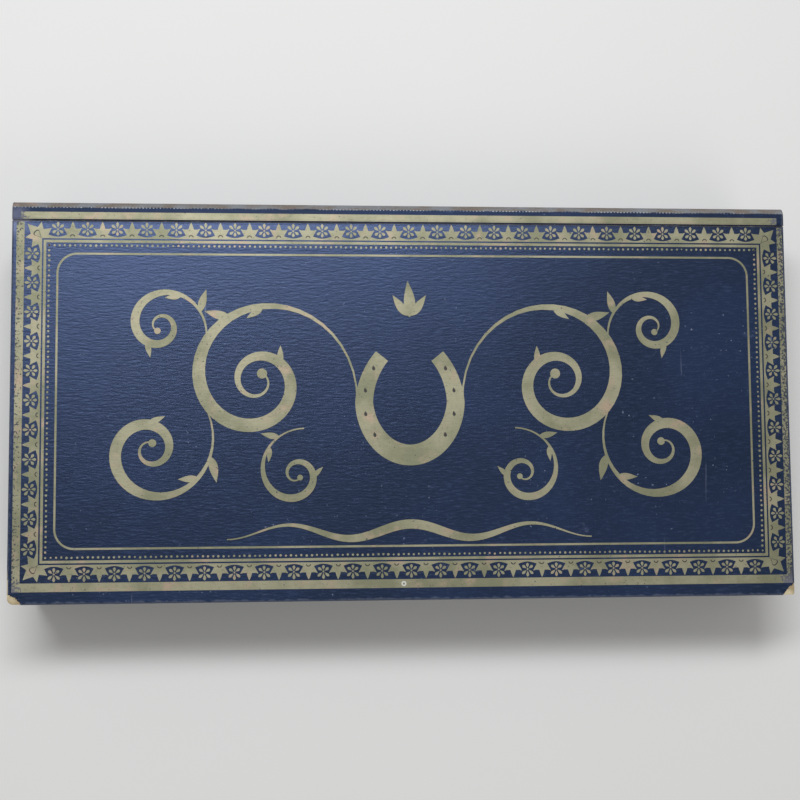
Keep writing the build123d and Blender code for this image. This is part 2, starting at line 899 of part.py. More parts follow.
# ================================================================ the crank
def make_crank():
    tang_r = 2.0
    tang_long = 3.0
    with BuildPart() as shaft:
        for low, high, radius in (
            (step_floor, arm_low, shaft_r),
            (arm_top, arm_top + tang_long, tang_r),
        ):
            with Locations((crank_x, 0, (low + high) / 2)):
                Cylinder(radius, high - low)
        with Locations((crank_x, 0, (arm_low + arm_top) / 2)):
            Box(square_side, square_side, arm_thick)
    save(shaft, "crank_shaft")

    boss_r = 7.0
    tip_r = 4.6
    pin_r = 1.5
    with BuildPart() as arm:
        with BuildSketch(Plane.XY.offset(arm_low)):
            with Locations((crank_x, 0)):
                Circle(boss_r)
            with Locations((crank_x, crank_throw)):
                Circle(tip_r)
            make_hull()
            seat = square_side + 2 * snug_play
            with Locations((crank_x, 0)):
                Rectangle(seat, seat, mode=Mode.SUBTRACT)
            with Locations((crank_x, crank_throw)):
                Circle(pin_r + snug_play, mode=Mode.SUBTRACT)
        extrude(amount=arm_thick)
        outline = arm.faces().sort_by(Axis.Z)[-1].outer_wire().edges()
        chamfer(outline, 0.5)
    save(arm, "crank_arm")

    nut_flats = 8.0
    nut_thick = 2.6
    with BuildPart() as nut:
        with BuildSketch(Plane.XY.offset(arm_top)):
            with Locations((crank_x, 0)):
                Rectangle(nut_flats, nut_flats)
                Circle(tang_r + snug_play, mode=Mode.SUBTRACT)
        extrude(amount=nut_thick)
        chamfer(nut.faces().sort_by(Axis.Z)[-1].outer_wire().edges(), 0.5)
    save(nut, "crank_nut")

    head_r = 3.2
    head_low = knob_high + 0.3
    head_thick = 1.4
    with BuildPart() as pin:
        with BuildSketch(Plane.XY.offset(arm_low)):
            with Locations((crank_x, crank_throw)):
                Circle(pin_r)
        extrude(amount=head_low - arm_low)
        with BuildSketch(Plane.XY.offset(head_low)):
            with Locations((crank_x, crank_throw)):
                Circle(head_r)
        extrude(amount=head_thick)
        fillet(pin.edges().group_by(Axis.Z)[-1], 0.8)
    save(pin, "knob_pin")

    knob = [
        (4.6, knob_low),
        (5.4, knob_low + 1.2),
        (4.2, knob_low + 4.0),
        (4.4, knob_low + 8.0),
        (6.6, knob_low + 15.0),
        (7.6, knob_low + 20.5),
        (6.6, knob_low + 25.2),
        (4.4, knob_high),
    ]
    spin = Axis(origin=(crank_x, crank_throw, 0), direction=(0, 0, 1))
    with BuildPart() as turned:
        side = Plane(
            origin=(crank_x, crank_throw, 0), x_dir=(1, 0, 0), z_dir=(0, -1, 0)
        )
        with BuildSketch(side):
            with BuildLine():
                Spline(*knob)
                Polyline(
                    knob[-1],
                    (pin_r + running_play, knob_high),
                    (pin_r + running_play, knob_low),
                    knob[0],
                )
            make_face()
        revolve(axis=spin)
    save(turned, "crank_knob")


# ============================================== dividers, stakes and counters
def make_dividers():
    front_y = inside_front + deck_play
    back_y = inside_back - deck_play
    for name, side in (("left_divider", -1), ("right_divider", 1)):
        with BuildPart() as divider:
            with BuildSketch(Plane.XY.offset(deck_top)):
                with Locations(
                    (side * (divider_x + divider_thick / 2), (front_y + back_y) / 2)
                ):
                    Rectangle(divider_thick, back_y - front_y)
            extrude(amount=divider_top - deck_top)
        save(divider, name)

    left_x = -inside_x + deck_play
    right_x = -divider_x - divider_thick
    with BuildPart() as cross:
        with BuildSketch(Plane.XY.offset(deck_top)):
            with Locations(((left_x + right_x) / 2, cross_y)):
                Rectangle(right_x - left_x, divider_thick)
        extrude(amount=runner_low - deck_top)
        with BuildSketch(Plane.XY.offset(runner_low)):
            with Locations(((left_x + right_x) / 2, cross_y)):
                Rectangle(right_x - left_x - 2 * runner_wide, divider_thick)
        extrude(amount=slide_low - slide_play - runner_low)
    save(cross, "cross_divider")

    groove_z = slide_low - slide_play
    groove_high = slide_thick + 2 * slide_play
    with BuildPart() as runners:
        for wall, side in ((left_x, 1), (right_x, -1)):
            with BuildSketch(Plane.XZ.offset(-front_y)):
                with Locations(
                    (wall + side * runner_wide / 2, (runner_low + runner_high) / 2)
                ):
                    Rectangle(runner_wide, runner_high - runner_low)
                with Locations(
                    (
                        wall + side * (runner_wide - groove_deep / 2),
                        groove_z + groove_high / 2,
                    )
                ):
                    Rectangle(groove_deep, groove_high, mode=Mode.SUBTRACT)
            extrude(amount=-(back_y - front_y))
    save(runners, "lid_runners")
    return left_x, right_x, front_y, back_y


def make_counter_lid(left_x, right_x, front_y):
    play = slide_play + 0.1
    edge_in = runner_wide - groove_deep + play
    slide_x0 = left_x + edge_in
    slide_x1 = right_x - edge_in
    slide_y0 = front_y + play
    slide_y1 = cross_y + divider_thick / 2
    knob_y = slide_y0 + 16.0
    middle = (slide_x0 + slide_x1) / 2
    stem_r = 1.5
    with BuildPart() as panel:
        with BuildSketch(Plane.XY.offset(slide_low)):
            with Locations((middle, (slide_y0 + slide_y1) / 2)):
                Rectangle(slide_x1 - slide_x0, slide_y1 - slide_y0)
            with Locations((middle, knob_y)):
                Circle(stem_r + snug_play, mode=Mode.SUBTRACT)
        extrude(amount=slide_thick)
    save(panel, "counter_lid")

    top = slide_low + slide_thick
    with BuildPart() as knob:
        with BuildSketch(
            Plane(origin=(middle, knob_y, 0), x_dir=(1, 0, 0), z_dir=(0, -1, 0))
        ):
            with BuildLine():
                Polyline(
                    (0, slide_low),
                    (stem_r, slide_low),
                    (stem_r, top),
                    (2.6, top),
                    (2.2, top + 2.2),
                    (4.6, top + 5.0),
                    (4.4, top + 7.2),
                    (2.6, top + 8.6),
                    (0, top + 9.0),
                    close=True,
                )
            make_face()
        revolve(axis=Axis(origin=(middle, knob_y, 0), direction=(0, 0, 1)))
    save(knob, "counter_lid_knob")


def make_counters(left_x, right_x, front_y, back_y):
    margin = 9.0
    block_x0 = left_x + margin
    block_x1 = right_x - margin
    block_y0 = front_y + margin
    block_y1 = cross_y - divider_thick / 2 - margin
    block_top = deck_top + 9.0
    row_pitch = (block_x1 - block_x0) / counter_rows
    trough_r = counter_r + 0.3
    row_xs = [block_x0 + row_pitch * (k + 0.5) for k in range(counter_rows)]
    trough_front = block_y0 + 4.0
    trough_back = block_y1 - 4.0
    with BuildPart() as rack:
        with BuildSketch(Plane.XY.offset(deck_top)):
            with Locations(((block_x0 + block_x1) / 2, (block_y0 + block_y1) / 2)):
                Rectangle(block_x1 - block_x0, block_y1 - block_y0)
        extrude(amount=block_top - deck_top)
        with BuildSketch(Plane.XZ.offset(-trough_front)):
            with Locations(*[(x, block_top) for x in row_xs]):
                Circle(trough_r)
        extrude(amount=-(trough_back - trough_front), mode=Mode.SUBTRACT)
    save(rack, "counter_rack")

    gap = 0.12
    with BuildPart() as counters:
        for k in range(counters_in_row):
            y = trough_front + 0.4 + k * (counter_thick + gap)
            with BuildSketch(Plane.XZ.offset(-y)):
                with Locations(*[(x, block_top - 0.28) for x in row_xs]):
                    Circle(counter_r)
            extrude(amount=-counter_thick)
    save(counters, "counters")

    card_in = 7.0
    card_thick = 0.8
    card_front = cross_y + divider_thick / 2 + card_in
    with BuildPart() as card:
        with BuildSketch(Plane.XY.offset(deck_top)):
            with Locations(
                ((left_x + right_x) / 2, (card_front + back_y - card_in) / 2)
            ):
                RectangleRounded(
                    right_x - left_x - 2 * card_in, back_y - card_in - card_front, 3.0
                )
        extrude(amount=card_thick)
    save(card, "stake_card")


make_bottom_board()
make_tray_floor()
make_long_walls()
make_end_wall("left_wall", -1)
make_end_wall("right_wall", 1)
make_hinge_rail()
make_spine()
make_rail_paper()
make_wall_covering()
make_wall_brads()
make_lid()
make_deck()
make_course()
make_fences()
make_winning_post()
make_train()
make_spindle()
make_horses()
make_crank()
edges = make_dividers()
make_counter_lid(*edges[:3])
make_counters(*edges)
print("fold axis y", crease_y, "z", case_height, "crank x", crank_x, "idler x", idler_x)
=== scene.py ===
# %% [markdown]
# # A boxed race game with a crank
#
# The case looks like a large flat book: pasteboard covers in navy paper with a leathery grain,
# a printed gilt border, and a worn cloth spine. Under the cover, four lead horses on brass wires
# run round a green course when a crank is turned. This file dresses the engineering model, which
# it loads as a fixed frame, with the surfaces and the print that make it look like the real thing.

import math

import bpy
import numpy as np
from mathutils import Matrix, Vector


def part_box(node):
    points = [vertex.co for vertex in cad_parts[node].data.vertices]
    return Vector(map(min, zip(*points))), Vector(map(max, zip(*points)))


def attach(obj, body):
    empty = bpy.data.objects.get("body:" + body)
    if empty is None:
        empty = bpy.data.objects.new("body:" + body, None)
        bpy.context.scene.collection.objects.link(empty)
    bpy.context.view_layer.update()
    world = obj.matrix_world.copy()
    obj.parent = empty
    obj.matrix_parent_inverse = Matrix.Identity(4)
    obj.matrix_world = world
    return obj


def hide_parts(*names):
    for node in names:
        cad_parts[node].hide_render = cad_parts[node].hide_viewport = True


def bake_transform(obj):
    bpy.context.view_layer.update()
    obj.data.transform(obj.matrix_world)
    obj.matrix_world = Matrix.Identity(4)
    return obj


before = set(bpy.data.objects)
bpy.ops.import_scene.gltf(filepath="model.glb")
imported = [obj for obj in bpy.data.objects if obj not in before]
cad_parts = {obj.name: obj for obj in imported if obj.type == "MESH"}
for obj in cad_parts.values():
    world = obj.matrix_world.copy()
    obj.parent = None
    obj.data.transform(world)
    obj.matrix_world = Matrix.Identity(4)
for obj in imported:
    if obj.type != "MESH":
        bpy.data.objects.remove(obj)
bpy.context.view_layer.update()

# %% [markdown]
# Lengths are easier to read in millimetres, so the shapes below are worked out in millimetres and
# turned into metres once, when a mesh is made. The main sizes are read off the frame, so the
# dressing always fits the solids.

# %% Sizes read from the frame
MM = 0.001


def box_mm(node):
    """The lowest and highest corner of a solid, in millimetres."""
    low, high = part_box(node)
    return np.array(low) / MM, np.array(high) / MM


lid_low, lid_high = box_mm("lid_board")
case_top = box_mm("lid_cover_paper")[1][2]
half_long = lid_high[0]
front_y = lid_low[1]
back_y = box_mm("spine_cloth")[1][1]
fold_front = lid_high[1]
fold_back = box_mm("rail_cover_paper")[0][1]
fold_y = (fold_front + fold_back) / 2
print("cover", 2 * half_long, "by", back_y - front_y, "fold at", round(fold_y, 2))

# %% [markdown]
# A surface is a grid of points worked out as whole arrays: one parameter runs along the rows and
# the other along the columns. The same small helpers number the faces of every grid, so no loop
# ever runs over single points.

# %% Helpers for meshes


def grid_faces(rows, columns, around=False):
    """Four-cornered faces between neighbouring points of a grid; around closes each row."""
    j = np.arange(columns if around else columns - 1)[None, :]
    below = np.arange(rows - 1)[:, None] * columns
    above = below + columns
    right = (j + 1) % columns
    corners = np.stack([below + j, below + right, above + right, above + j], axis=-1)
    return corners.reshape(-1, 4)


def make_piece(name, points, faces, body, finish, smooth=True, stands_for=()):
    """Points in millimetres and faces become one mesh that rides on a body."""
    mesh = bpy.data.meshes.new(name)
    points = np.asarray(points, float).reshape(-1, 3) * MM
    mesh.from_pydata(points.tolist(), [], [list(map(int, f)) for f in faces])
    mesh.validate()
    mesh.shade_smooth() if smooth else mesh.shade_flat()
    piece = bpy.data.objects.new(name, mesh)
    bpy.context.scene.collection.objects.link(piece)
    if finish is not None:
        mesh.materials.append(finish)
    if body:
        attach(piece, body)
    if stands_for:
        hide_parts(*stands_for)
    return piece


def joined(parts):
    """Several (points, faces) pairs as one, with the faces renumbered."""
    points, faces, start = [], [], 0
    for part_points, part_faces in parts:
        part_points = np.asarray(part_points, float).reshape(-1, 3)
        points.append(part_points)
        faces.extend([[int(v) + start for v in face] for face in part_faces])
        start += len(part_points)
    return np.concatenate(points), faces


def thicken(piece, thickness, side=-1.0):
    """Gives a sheet its real thickness, so it is a closed solid."""
    wall = piece.modifiers.new("thickness", "SOLIDIFY")
    wall.thickness = thickness * MM
    wall.offset = side
    return piece


def settle(piece):
    """Applies a piece's modifiers, and leaves the finished mesh."""
    shaped = piece.evaluated_get(bpy.context.evaluated_depsgraph_get())
    mesh = bpy.data.meshes.new_from_object(shaped)
    piece.modifiers.clear()
    piece.data = mesh
    return piece


def rough(x, y, seed):
    """A smooth uneven value from -1 to 1: a few sines whose waves never line up."""
    wave = np.sin(x * 0.71 + y * 0.37 + seed) + np.sin(x * 1.93 - y * 1.31 + 2.1 * seed)
    wave = wave + np.sin(x * 4.17 + y * 3.01 + 0.7 * seed)
    return wave / 3.0


# %% [markdown]
# Many outlines below are made of round stretches or are drawn upright and then turned. Three more
# helpers take care of that: evenly spaced directions, points on a circle, and turned points.

# %% Helpers for flat outlines


def full_turn(count):
    """Evenly spaced directions right round, in radians."""
    return np.linspace(0, 2 * np.pi, count, endpoint=False)


def on_circle(directions):
    """Points on a circle of radius one."""
    return np.stack([np.cos(directions), np.sin(directions)], axis=-1)


def turned(points, angle):
    """Flat points turned about the origin by an angle in radians."""
    cos, sin = math.cos(angle), math.sin(angle)
    return points @ np.array([[cos, sin], [-sin, cos]])


# %% [markdown]
# Colours are noted as a paint chip would be read off the screen, from 0 to 255. The renderer adds
# light in linear amounts, so one helper turns the noted colour into the linear one.

# %% Colours


def chip(red, green, blue):
    """A colour read off the screen, as the linear colour that the renderer uses."""
    c = np.array([red, green, blue]) / 255.0
    linear = np.where(c <= 0.04045, c / 12.92, ((c + 0.055) / 1.055) ** 2.4)
    return (*linear.tolist(), 1.0)


NAVY_DEEP = chip(13, 25, 42)
NAVY = chip(22, 36, 60)
NAVY_RUBBED = chip(66, 80, 112)
GILT = chip(158, 154, 128)
GILT_DULL = chip(128, 128, 102)
GILT_WARM = chip(168, 150, 128)
BOARD = chip(216, 203, 170)
BOARD_DIRTY = chip(168, 150, 118)
# The next grey is worn spine cloth lightened by a painted sheen.
CLOTH_GREY_WITH_SHEEN = chip(128, 130, 132)
CLOTH_BROWN = chip(118, 106, 92)
INK = chip(38, 38, 40)
SHEEN = (0.42, 0.55, 1.0, 1.0)

# %% [markdown]
# A finish is a small network of shader nodes. Written out node by node it is hard to read, so a
# socket is wrapped in a class that knows arithmetic: an expression such as `1 - mask` adds the
# nodes by itself. All other nodes come from one method that takes the node's type, its settings
# and what goes into its sockets.

# %% Shader arithmetic


class Wire:
    """One output socket, which can be used in sums."""

    def __init__(self, finish, socket):
        self.finish = finish
        self.socket = socket

    def sum(self, operation, other, swapped=False):
        first, second = (other, self) if swapped else (self, other)
        return self.finish.node("ShaderNodeMath", {"operation": operation}, {0: first, 1: second})

    def __add__(self, other):
        return self.sum("ADD", other)

    def __sub__(self, other):
        return self.sum("SUBTRACT", other)

    def __rsub__(self, other):
        return self.sum("SUBTRACT", other, swapped=True)

    def __mul__(self, other):
        return self.sum("MULTIPLY", other)

    def __truediv__(self, other):
        return self.sum("DIVIDE", other)

    def __gt__(self, other):
        return self.sum("GREATER_THAN", other)

    def __lt__(self, other):
        return self.sum("LESS_THAN", other)

    def most(self, other):
        return self.sum("MAXIMUM", other)

    def least(self, other):
        return self.sum("MINIMUM", other)

    def size(self):
        return self.sum("ABSOLUTE", 0.0)

    __radd__ = __add__


def length_of(first, second):
    """The length of a flat arrow from its two parts."""
    return (first * first + second * second).sum("POWER", 0.5)


def sine_of(value):
    return value.sum("SINE", 0.0)


class Finish:
    """A material with one Principled shader, built up by short calls."""

    def __init__(self, name, **constants):
        self.material = bpy.data.materials.new(name)
        self.material.use_nodes = True
        self.tree = self.material.node_tree
        self.shader = self.tree.nodes["Principled BSDF"]
        for socket, value in constants.items():
            self.shader.inputs[socket.replace("_", " ")].default_value = value

    def node(self, kind, settings=None, inputs=None, output=0):
        """Adds a node, sets it up, feeds its sockets, and returns one of its outputs."""
        made = self.tree.nodes.new(kind)
        for name, value in (settings or {}).items():
            setattr(made, name, value)
        for name, value in (inputs or {}).items():
            if isinstance(value, Wire):
                self.tree.links.new(value.socket, made.inputs[name])
            else:
                made.inputs[name].default_value = value
        return Wire(self, made.outputs[output])

    def place(self):
        """Where the surface point is, in metres."""
        return self.node("ShaderNodeTexCoord", output="Object")

    def axis(self, letter):
        """One coordinate of the place, in millimetres."""
        apart = self.node("ShaderNodeSeparateXYZ", None, {0: self.place()}, output=letter)
        return apart * 1000.0

    def noise(self, scale, stretch=(1, 1, 1), turn=0.0, detail=4.0, roughness=0.55):
        """Cloudy noise with about that many features to a metre, stretched or turned."""
        laid = self.node(
            "ShaderNodeMapping",
            None,
            {"Vector": self.place(), "Scale": stretch, "Rotation": (0, 0, turn)},
        )
        sockets = {"Vector": laid, "Scale": scale, "Detail": detail, "Roughness": roughness}
        return self.node("ShaderNodeTexNoise", None, sockets)

    def step(self, value, low, high):
        """0 below low, 1 above high, and a soft rise between."""
        sockets = {"Value": value, "From Min": low, "From Max": high}
        return self.node("ShaderNodeMapRange", {"interpolation_type": "SMOOTHSTEP"}, sockets)

    def mix(self, share, first, second):
        """One colour turning into another as share goes from 0 to 1."""
        sockets = {0: share, 6: first, 7: second}
        return self.node("ShaderNodeMix", {"data_type": "RGBA"}, sockets, output=2)

    def bumps(self, height, depth):
        """Raises and sinks the surface by height, depth millimetres at most."""
        sockets = {"Height": height, "Distance": depth * MM, "Strength": 1.0}
        return self.node("ShaderNodeBump", None, sockets)

    def wear(self, **sockets):
        """Feeds the shader: Base_Color, Roughness, Metallic, Coat_Weight or Normal."""
        for name, value in sockets.items():
            target = self.shader.inputs[name.replace("_", " ")]
            if isinstance(value, Wire):
                self.tree.links.new(value.socket, target)
            else:
                target.default_value = value
        return self.material


def mottled(name, scale, first, second, depth=0.0, stretch=(1, 1, 1), detail=4.0, **constants):
    """The simplest finish: one noise drifts between two colours, and can also raise the surface."""
    finish = Finish(name, **constants)
    cloud = finish.noise(scale, stretch=stretch, detail=detail)
    sockets = {"Base_Color": finish.mix(cloud, first, second)}
    if depth:
        sockets["Normal"] = finish.bumps(cloud, depth)
    return finish.wear(**sockets)


# %% [markdown]
# ## The navy paper
#
# The cover paper was embossed by rollers with a leather grain: short wrinkles that run mostly along
# the case, with a fine grit between them. The wrinkles are stretched noise used as bumps. Rubbing
# has lightened the high spots, and small knocks have taken the colour off down to the pale paper,
# singly and in knots. The rubbing is strongest along the edges and at the left end of the fold, so
# its masks are distances to those, roughened by noise.

# %% Leather-grained paper


def grain_of(finish):
    """The embossed wrinkles: long noise for the folds and small noise for the grit."""
    folds = finish.noise(330.0, stretch=(0.5, 2.2, 2.2), detail=4.0)
    grit = finish.noise(1500.0, stretch=(0.8, 1.6, 1.6), detail=2.0)
    return folds * 0.7 + grit * 0.3


def from_edge(finish):
    """The distance to the nearest of the left, right and front edges, in millimetres."""
    return (half_long - finish.axis("X").size()).least(finish.axis("Y") - front_y)


def paper_colour(finish, edge_distance):
    """The colour, navy with its rubs and marks, with the grain and the worn share behind it."""
    grain = grain_of(finish)
    colour = finish.mix(finish.step(finish.noise(9.0, detail=3.0), 0.35, 0.7), NAVY_DEEP, NAVY)
    colour = finish.mix(finish.step(grain, 0.5, 0.72) * 0.30, colour, NAVY_RUBBED)
    specks = finish.step(finish.noise(420.0, detail=2.0), 0.69, 0.74)
    patches = finish.step(finish.noise(22.0, detail=2.0), 0.44, 0.64)
    scratches = finish.noise(300.0, stretch=(1, 0.045, 1), turn=0.7, detail=1.0)
    marks = (specks * patches).most(finish.step(scratches, 0.765, 0.80) * patches * 0.6)
    colour = finish.mix(marks * 0.6, colour, chip(140, 148, 168))
    threads = finish.noise(95.0, stretch=(0.6, 1.3, 1), detail=7.0, roughness=0.8)
    few = finish.step(finish.noise(13.0, detail=1.0), 0.50, 0.66)
    knots = finish.step(threads, 0.58, 0.70) * few
    colour = finish.mix(knots * 0.4, colour, chip(104, 116, 146))
    from_corner = length_of(finish.axis("X") + half_long, finish.axis("Y") - fold_y)
    rubbed = 1.0 - finish.step(from_corner + finish.noise(160.0) * 10.0, 8.0, 20.0)
    colour = finish.mix(rubbed * 0.6, colour, chip(116, 118, 136))
    ragged = finish.noise(240.0, detail=4.0) * 4.0 - 1.6
    worn = 1.0 - finish.step(edge_distance - ragged, 0.0, 1.1)
    colour = finish.mix(worn * 0.35, colour, chip(104, 108, 116))
    return colour, grain, worn


def cover_paper_finish():
    """Navy paper, with a cream sliver where the left edge is split near the front."""
    finish = Finish("embossed navy paper", Specular_IOR_Level=0.7, Specular_Tint=SHEEN)
    colour, grain, worn = paper_colour(finish, from_edge(finish))
    from_left, from_front = finish.axis("X") + half_long, finish.axis("Y") - front_y
    split = (1.0 - finish.step(from_left, 0.1, 0.8)) * (1.0 - finish.step(from_front, 12.0, 24.0))
    sliver = split * finish.step(finish.noise(180.0, detail=3.0), 0.42, 0.48)
    colour = finish.mix(sliver, colour, BOARD)
    gloss = 0.26 + grain * 0.16 + worn * 0.3
    return finish.wear(Base_Color=colour, Roughness=gloss, Normal=finish.bumps(grain, 0.22))


navy_paper = cover_paper_finish()
print(navy_paper.name, "with", len(navy_paper.node_tree.nodes), "nodes")

# %% [markdown]
# ## The cover
#
# Paper that is glued over pasteboard rounds off the board's edges. The cover's skin is a height
# field: one list of places across the case and one from front to back, each with how far the skin
# has dropped there, and every grid point takes the larger of its two drops.

# %% The cover's skin
wrap = 0.25  # how far the paper stands out past the board's edges
skin_thick = 0.24
fine_to = 14.0  # the grid is fine up to here from an edge, for the torn corners
edge_path = [(wrap, 2.9), (wrap, 0.75), (wrap * 0.4, 0.28), (-0.35, 0.05), (-0.9, 0.0)]
fine_places = np.arange(1.2, 11.0, 0.35)


def inwards_from(edge):
    """Places and drops from an edge at a low coordinate inwards, close together."""
    rounded = [(edge - out, drop) for out, drop in edge_path]
    return np.array(rounded + [(edge + in_, 0.0) for in_ in fine_places])


def level(first, last, count):
    """Evenly spaced places without any drop."""
    return np.stack([np.linspace(first, last, count), np.zeros(count)], axis=1)


def across_places():
    """Places and drops from the left edge to the right one."""
    left = inwards_from(-half_long)
    middle = level(-half_long + fine_to, half_long - fine_to, 60)
    return np.concatenate([left, middle, left[::-1] * (-1, 1)])


def deep_places():
    """Places and drops from the front edge to the fold."""
    middle = level(front_y + fine_to, fold_front - 0.6, 30)
    fold = np.array([(fold_front - 0.25, 0.08), (fold_front, 0.35), (fold_front + 0.05, 0.8)])
    return np.concatenate([inwards_from(front_y), middle, fold])


# %% [markdown]
# Both front corners have lost their paper. Inside a ragged line the skin sinks into the board, so
# the cream pasteboard shows there. The line is a straight cut from the front edge to the side
# edge, with distances given as shares of the cut's two lengths, and a sum of sines makes it uneven.

# %% Torn corners and the piece
left_loss = (8.0, 6.0)  # how much of the front edge and of the side edge is gone
right_loss = (7.5, 7.6)
sunk_inwards = 1.9
sunk_down = 0.5


def torn_away(x, y, side, loss, bulge, seed):
    """1 where the paper is gone at a front corner, left (-1) or right (1), and 0 elsewhere."""
    u = (half_long - x * side) / loss[0]
    v = (y - front_y) / loss[1]
    limit = 1 + bulge * (1 - (u - v) ** 2) + 0.11 * rough(x * 2.1, y * 2.3, seed)
    return (u + v < limit).astype(float)


def cover_skin():
    """Height is the top less the larger of the two drops; torn places are sunk into the board."""
    across, deep = across_places(), deep_places()
    x, y = np.meshgrid(across[:, 0], deep[:, 0])
    drop = np.maximum(across[:, 1][None, :], deep[:, 1][:, None])
    left = torn_away(x, y, -1, left_loss, 0.26, 0.4)
    right = torn_away(x, y, 1, right_loss, 0.05, 2.9)
    x = x + sunk_inwards * (left - right)
    y = y + sunk_inwards * (left + right)
    drop = drop + sunk_down * (left + right) * np.clip(1 - drop / edge_path[0][1], 0, 1)
    points = np.stack([x, y, case_top - drop], axis=-1)
    return points, grid_faces(*x.shape)


points, faces = cover_skin()
cover = make_piece("cover_paper", points, faces, "lid", navy_paper, stands_for=["lid_cover_paper"])
thicken(cover, skin_thick)
print("cover skin", points.shape[:2])

# %% [markdown]
# ## The gilt print
#
# The border was printed in bronze ink. It is a thin flat layer, so each motif is drawn as a flat
# outline and given a few hundredths of a millimetre of thickness. The whole border hangs on one
# rectangle, the fine dark line between the row of stars and the inner rule: everything else is a
# distance inwards or outwards from that line. The print sits a little to the right of the board.

# %% Layout of the border
print_middle = np.array([1.4, 0.1])
print_half = np.array([236.0, 104.0])  # half the size of the rectangle of the dark line
tiles_long = 25
tiles_deep = 11
inner_rule = (0.5, 2.2)  # where the rule begins and ends, inwards
dot_in = 4.05
dot_pitch = 3.28
dot_radius = 0.72
hair_in = 9.4
hair_wide = 1.3
hair_corner = 12.6
band_out = (11.9, 17.4)  # where the outer band begins and ends, outwards
floret_out = 6.4
foil_height = case_top + 0.02
foil_thick = 0.05
pitch_long = 2 * print_half[0] / tiles_long
pitch_deep = 2 * print_half[1] / tiles_deep
print("star pitch", round(pitch_long, 2), "and", round(pitch_deep, 2))

# %% [markdown]
# Bronze ink turns dull and brownish with age, and it crackles and rubs away where hands touch it.
# The finish is half metal: its colour drifts between dull green-gold and warm brown, small dark
# pits let the navy through, and near the edges and corners much of it is rubbed off.

# %% Gilt finish
corner_y = 126.0  # the rub at the corners is measured from here


def gilt_finish():
    finish = Finish("old bronze ink")
    drift = finish.noise(34.0, detail=5.0)
    mottle = finish.noise(420.0, detail=4.0, roughness=0.7)
    colour = finish.mix(finish.step(drift, 0.35, 0.65), GILT_DULL, GILT)
    colour = finish.mix(finish.step(finish.noise(75.0, detail=4.0), 0.52, 0.75), colour, GILT_WARM)
    colour = finish.mix(finish.step(mottle, 0.5, 0.8) * 0.35, colour, chip(96, 92, 78))
    x, y = finish.axis("X"), finish.axis("Y")
    from_corner = (half_long - x.size()).most(corner_y - y.size())
    edge = (1.0 - finish.step(from_edge(finish), 0.5, 11.0)) * 0.15
    corner = (1.0 - finish.step(from_corner, 2.0, 17.0)) * 0.16
    right_side = (1.0 - finish.step(half_long - x, 2.0, 8.0)) * 0.05
    pits = finish.noise(620.0, detail=3.0, roughness=0.65) + edge + corner + right_side
    bare = finish.step(pits, 0.655, 0.70)
    under = finish.mix(corner * 5.0, NAVY, chip(112, 112, 128))
    colour = finish.mix(bare * 0.9, colour, under)
    metal = (1.0 - bare) * 0.45
    gloss = 0.46 + bare * 0.1 + mottle * 0.12
    bump = finish.bumps(grain_of(finish), 0.10)
    return finish.wear(Base_Color=colour, Metallic=metal, Roughness=gloss, Normal=bump)


gilt = gilt_finish()
dark_ink = mottled("dark line ink", 300.0, INK, chip(58, 54, 50), Roughness=0.6)
print("inks", gilt.name, "and", dark_ink.name)

# %% [markdown]
# One star tile is as wide as the pitch: a five-pointed star stands on the base line with its long
# point outwards, and on each side its arm runs out to the next floret. Between the arm and the base
# the gilt leaves a fan-shaped hollow, a piece of a circle round the floret. Half a tile is drawn as
# a short list of points, and its mirror image makes the rest.

# %% The star tile
base_line = 0.5
fan_corner = np.array([3.4, 2.9])
fan_top = 1.5
petals = ((90, 4.9), (140, 4.8), (215, 4.2), (270, 4.1), (325, 4.2), (40, 4.8))
petal_root = 0.75
petal_wide = 0.92
eye_radius = 0.62


def fan_curve(pitch):
    """The edge of the hollow, from its corner by the star to the middle of the floret."""
    share = np.linspace(0, 1, 8)
    along = fan_corner[0] + (pitch / 2 - fan_corner[0]) * share
    out = fan_corner[1] + (fan_top - fan_corner[1]) * np.sin(share * np.pi / 2)
    return np.stack([along, out], axis=1)


def half_star(pitch):
    """Corner points of the right half of a tile, from the star's tip down to the base line."""
    spike = np.array([(0.22, 11.3), (1.15, 9.0), (1.75, 6.9)])
    arm = np.array([(4.2, 6.85), (5.55, 7.35), (5.75, 7.15)])
    return np.concatenate([spike, arm, fan_curve(pitch), [(pitch / 2, base_line)]])


def star_outline(pitch):
    """The whole tile, counter-clockwise, as along and outward distances."""
    right = half_star(pitch)
    left = right * (-1, 1)
    return np.concatenate([left, right[::-1]])


def floret_outlines():
    """Six teardrop petals round an eye: width is a sine, fullest near the petal's end."""
    share = np.linspace(0, 1, 9)
    width = petal_wide * np.sin(np.pi * share**1.7) ** 0.8
    outlines = []
    for degrees, reach in petals:
        side = np.stack([petal_root + (reach - petal_root) * share, width], axis=1)
        shape = np.concatenate([side, (side * (1, -1))[-2:0:-1]])
        outlines.append(turned(shape, math.radians(degrees)) + (0, floret_out))
    outlines.append(on_circle(full_turn(10)) * eye_radius + (0, floret_out))
    return outlines


# %% [markdown]
# A side of the border is a line with an outward direction. One helper carries an outline that is
# drawn as (along, outward) distances onto a side of the case, at any place along it. The hand-cut
# printing block was not perfectly even, so each motif is nudged by a tenth of a millimetre or so.

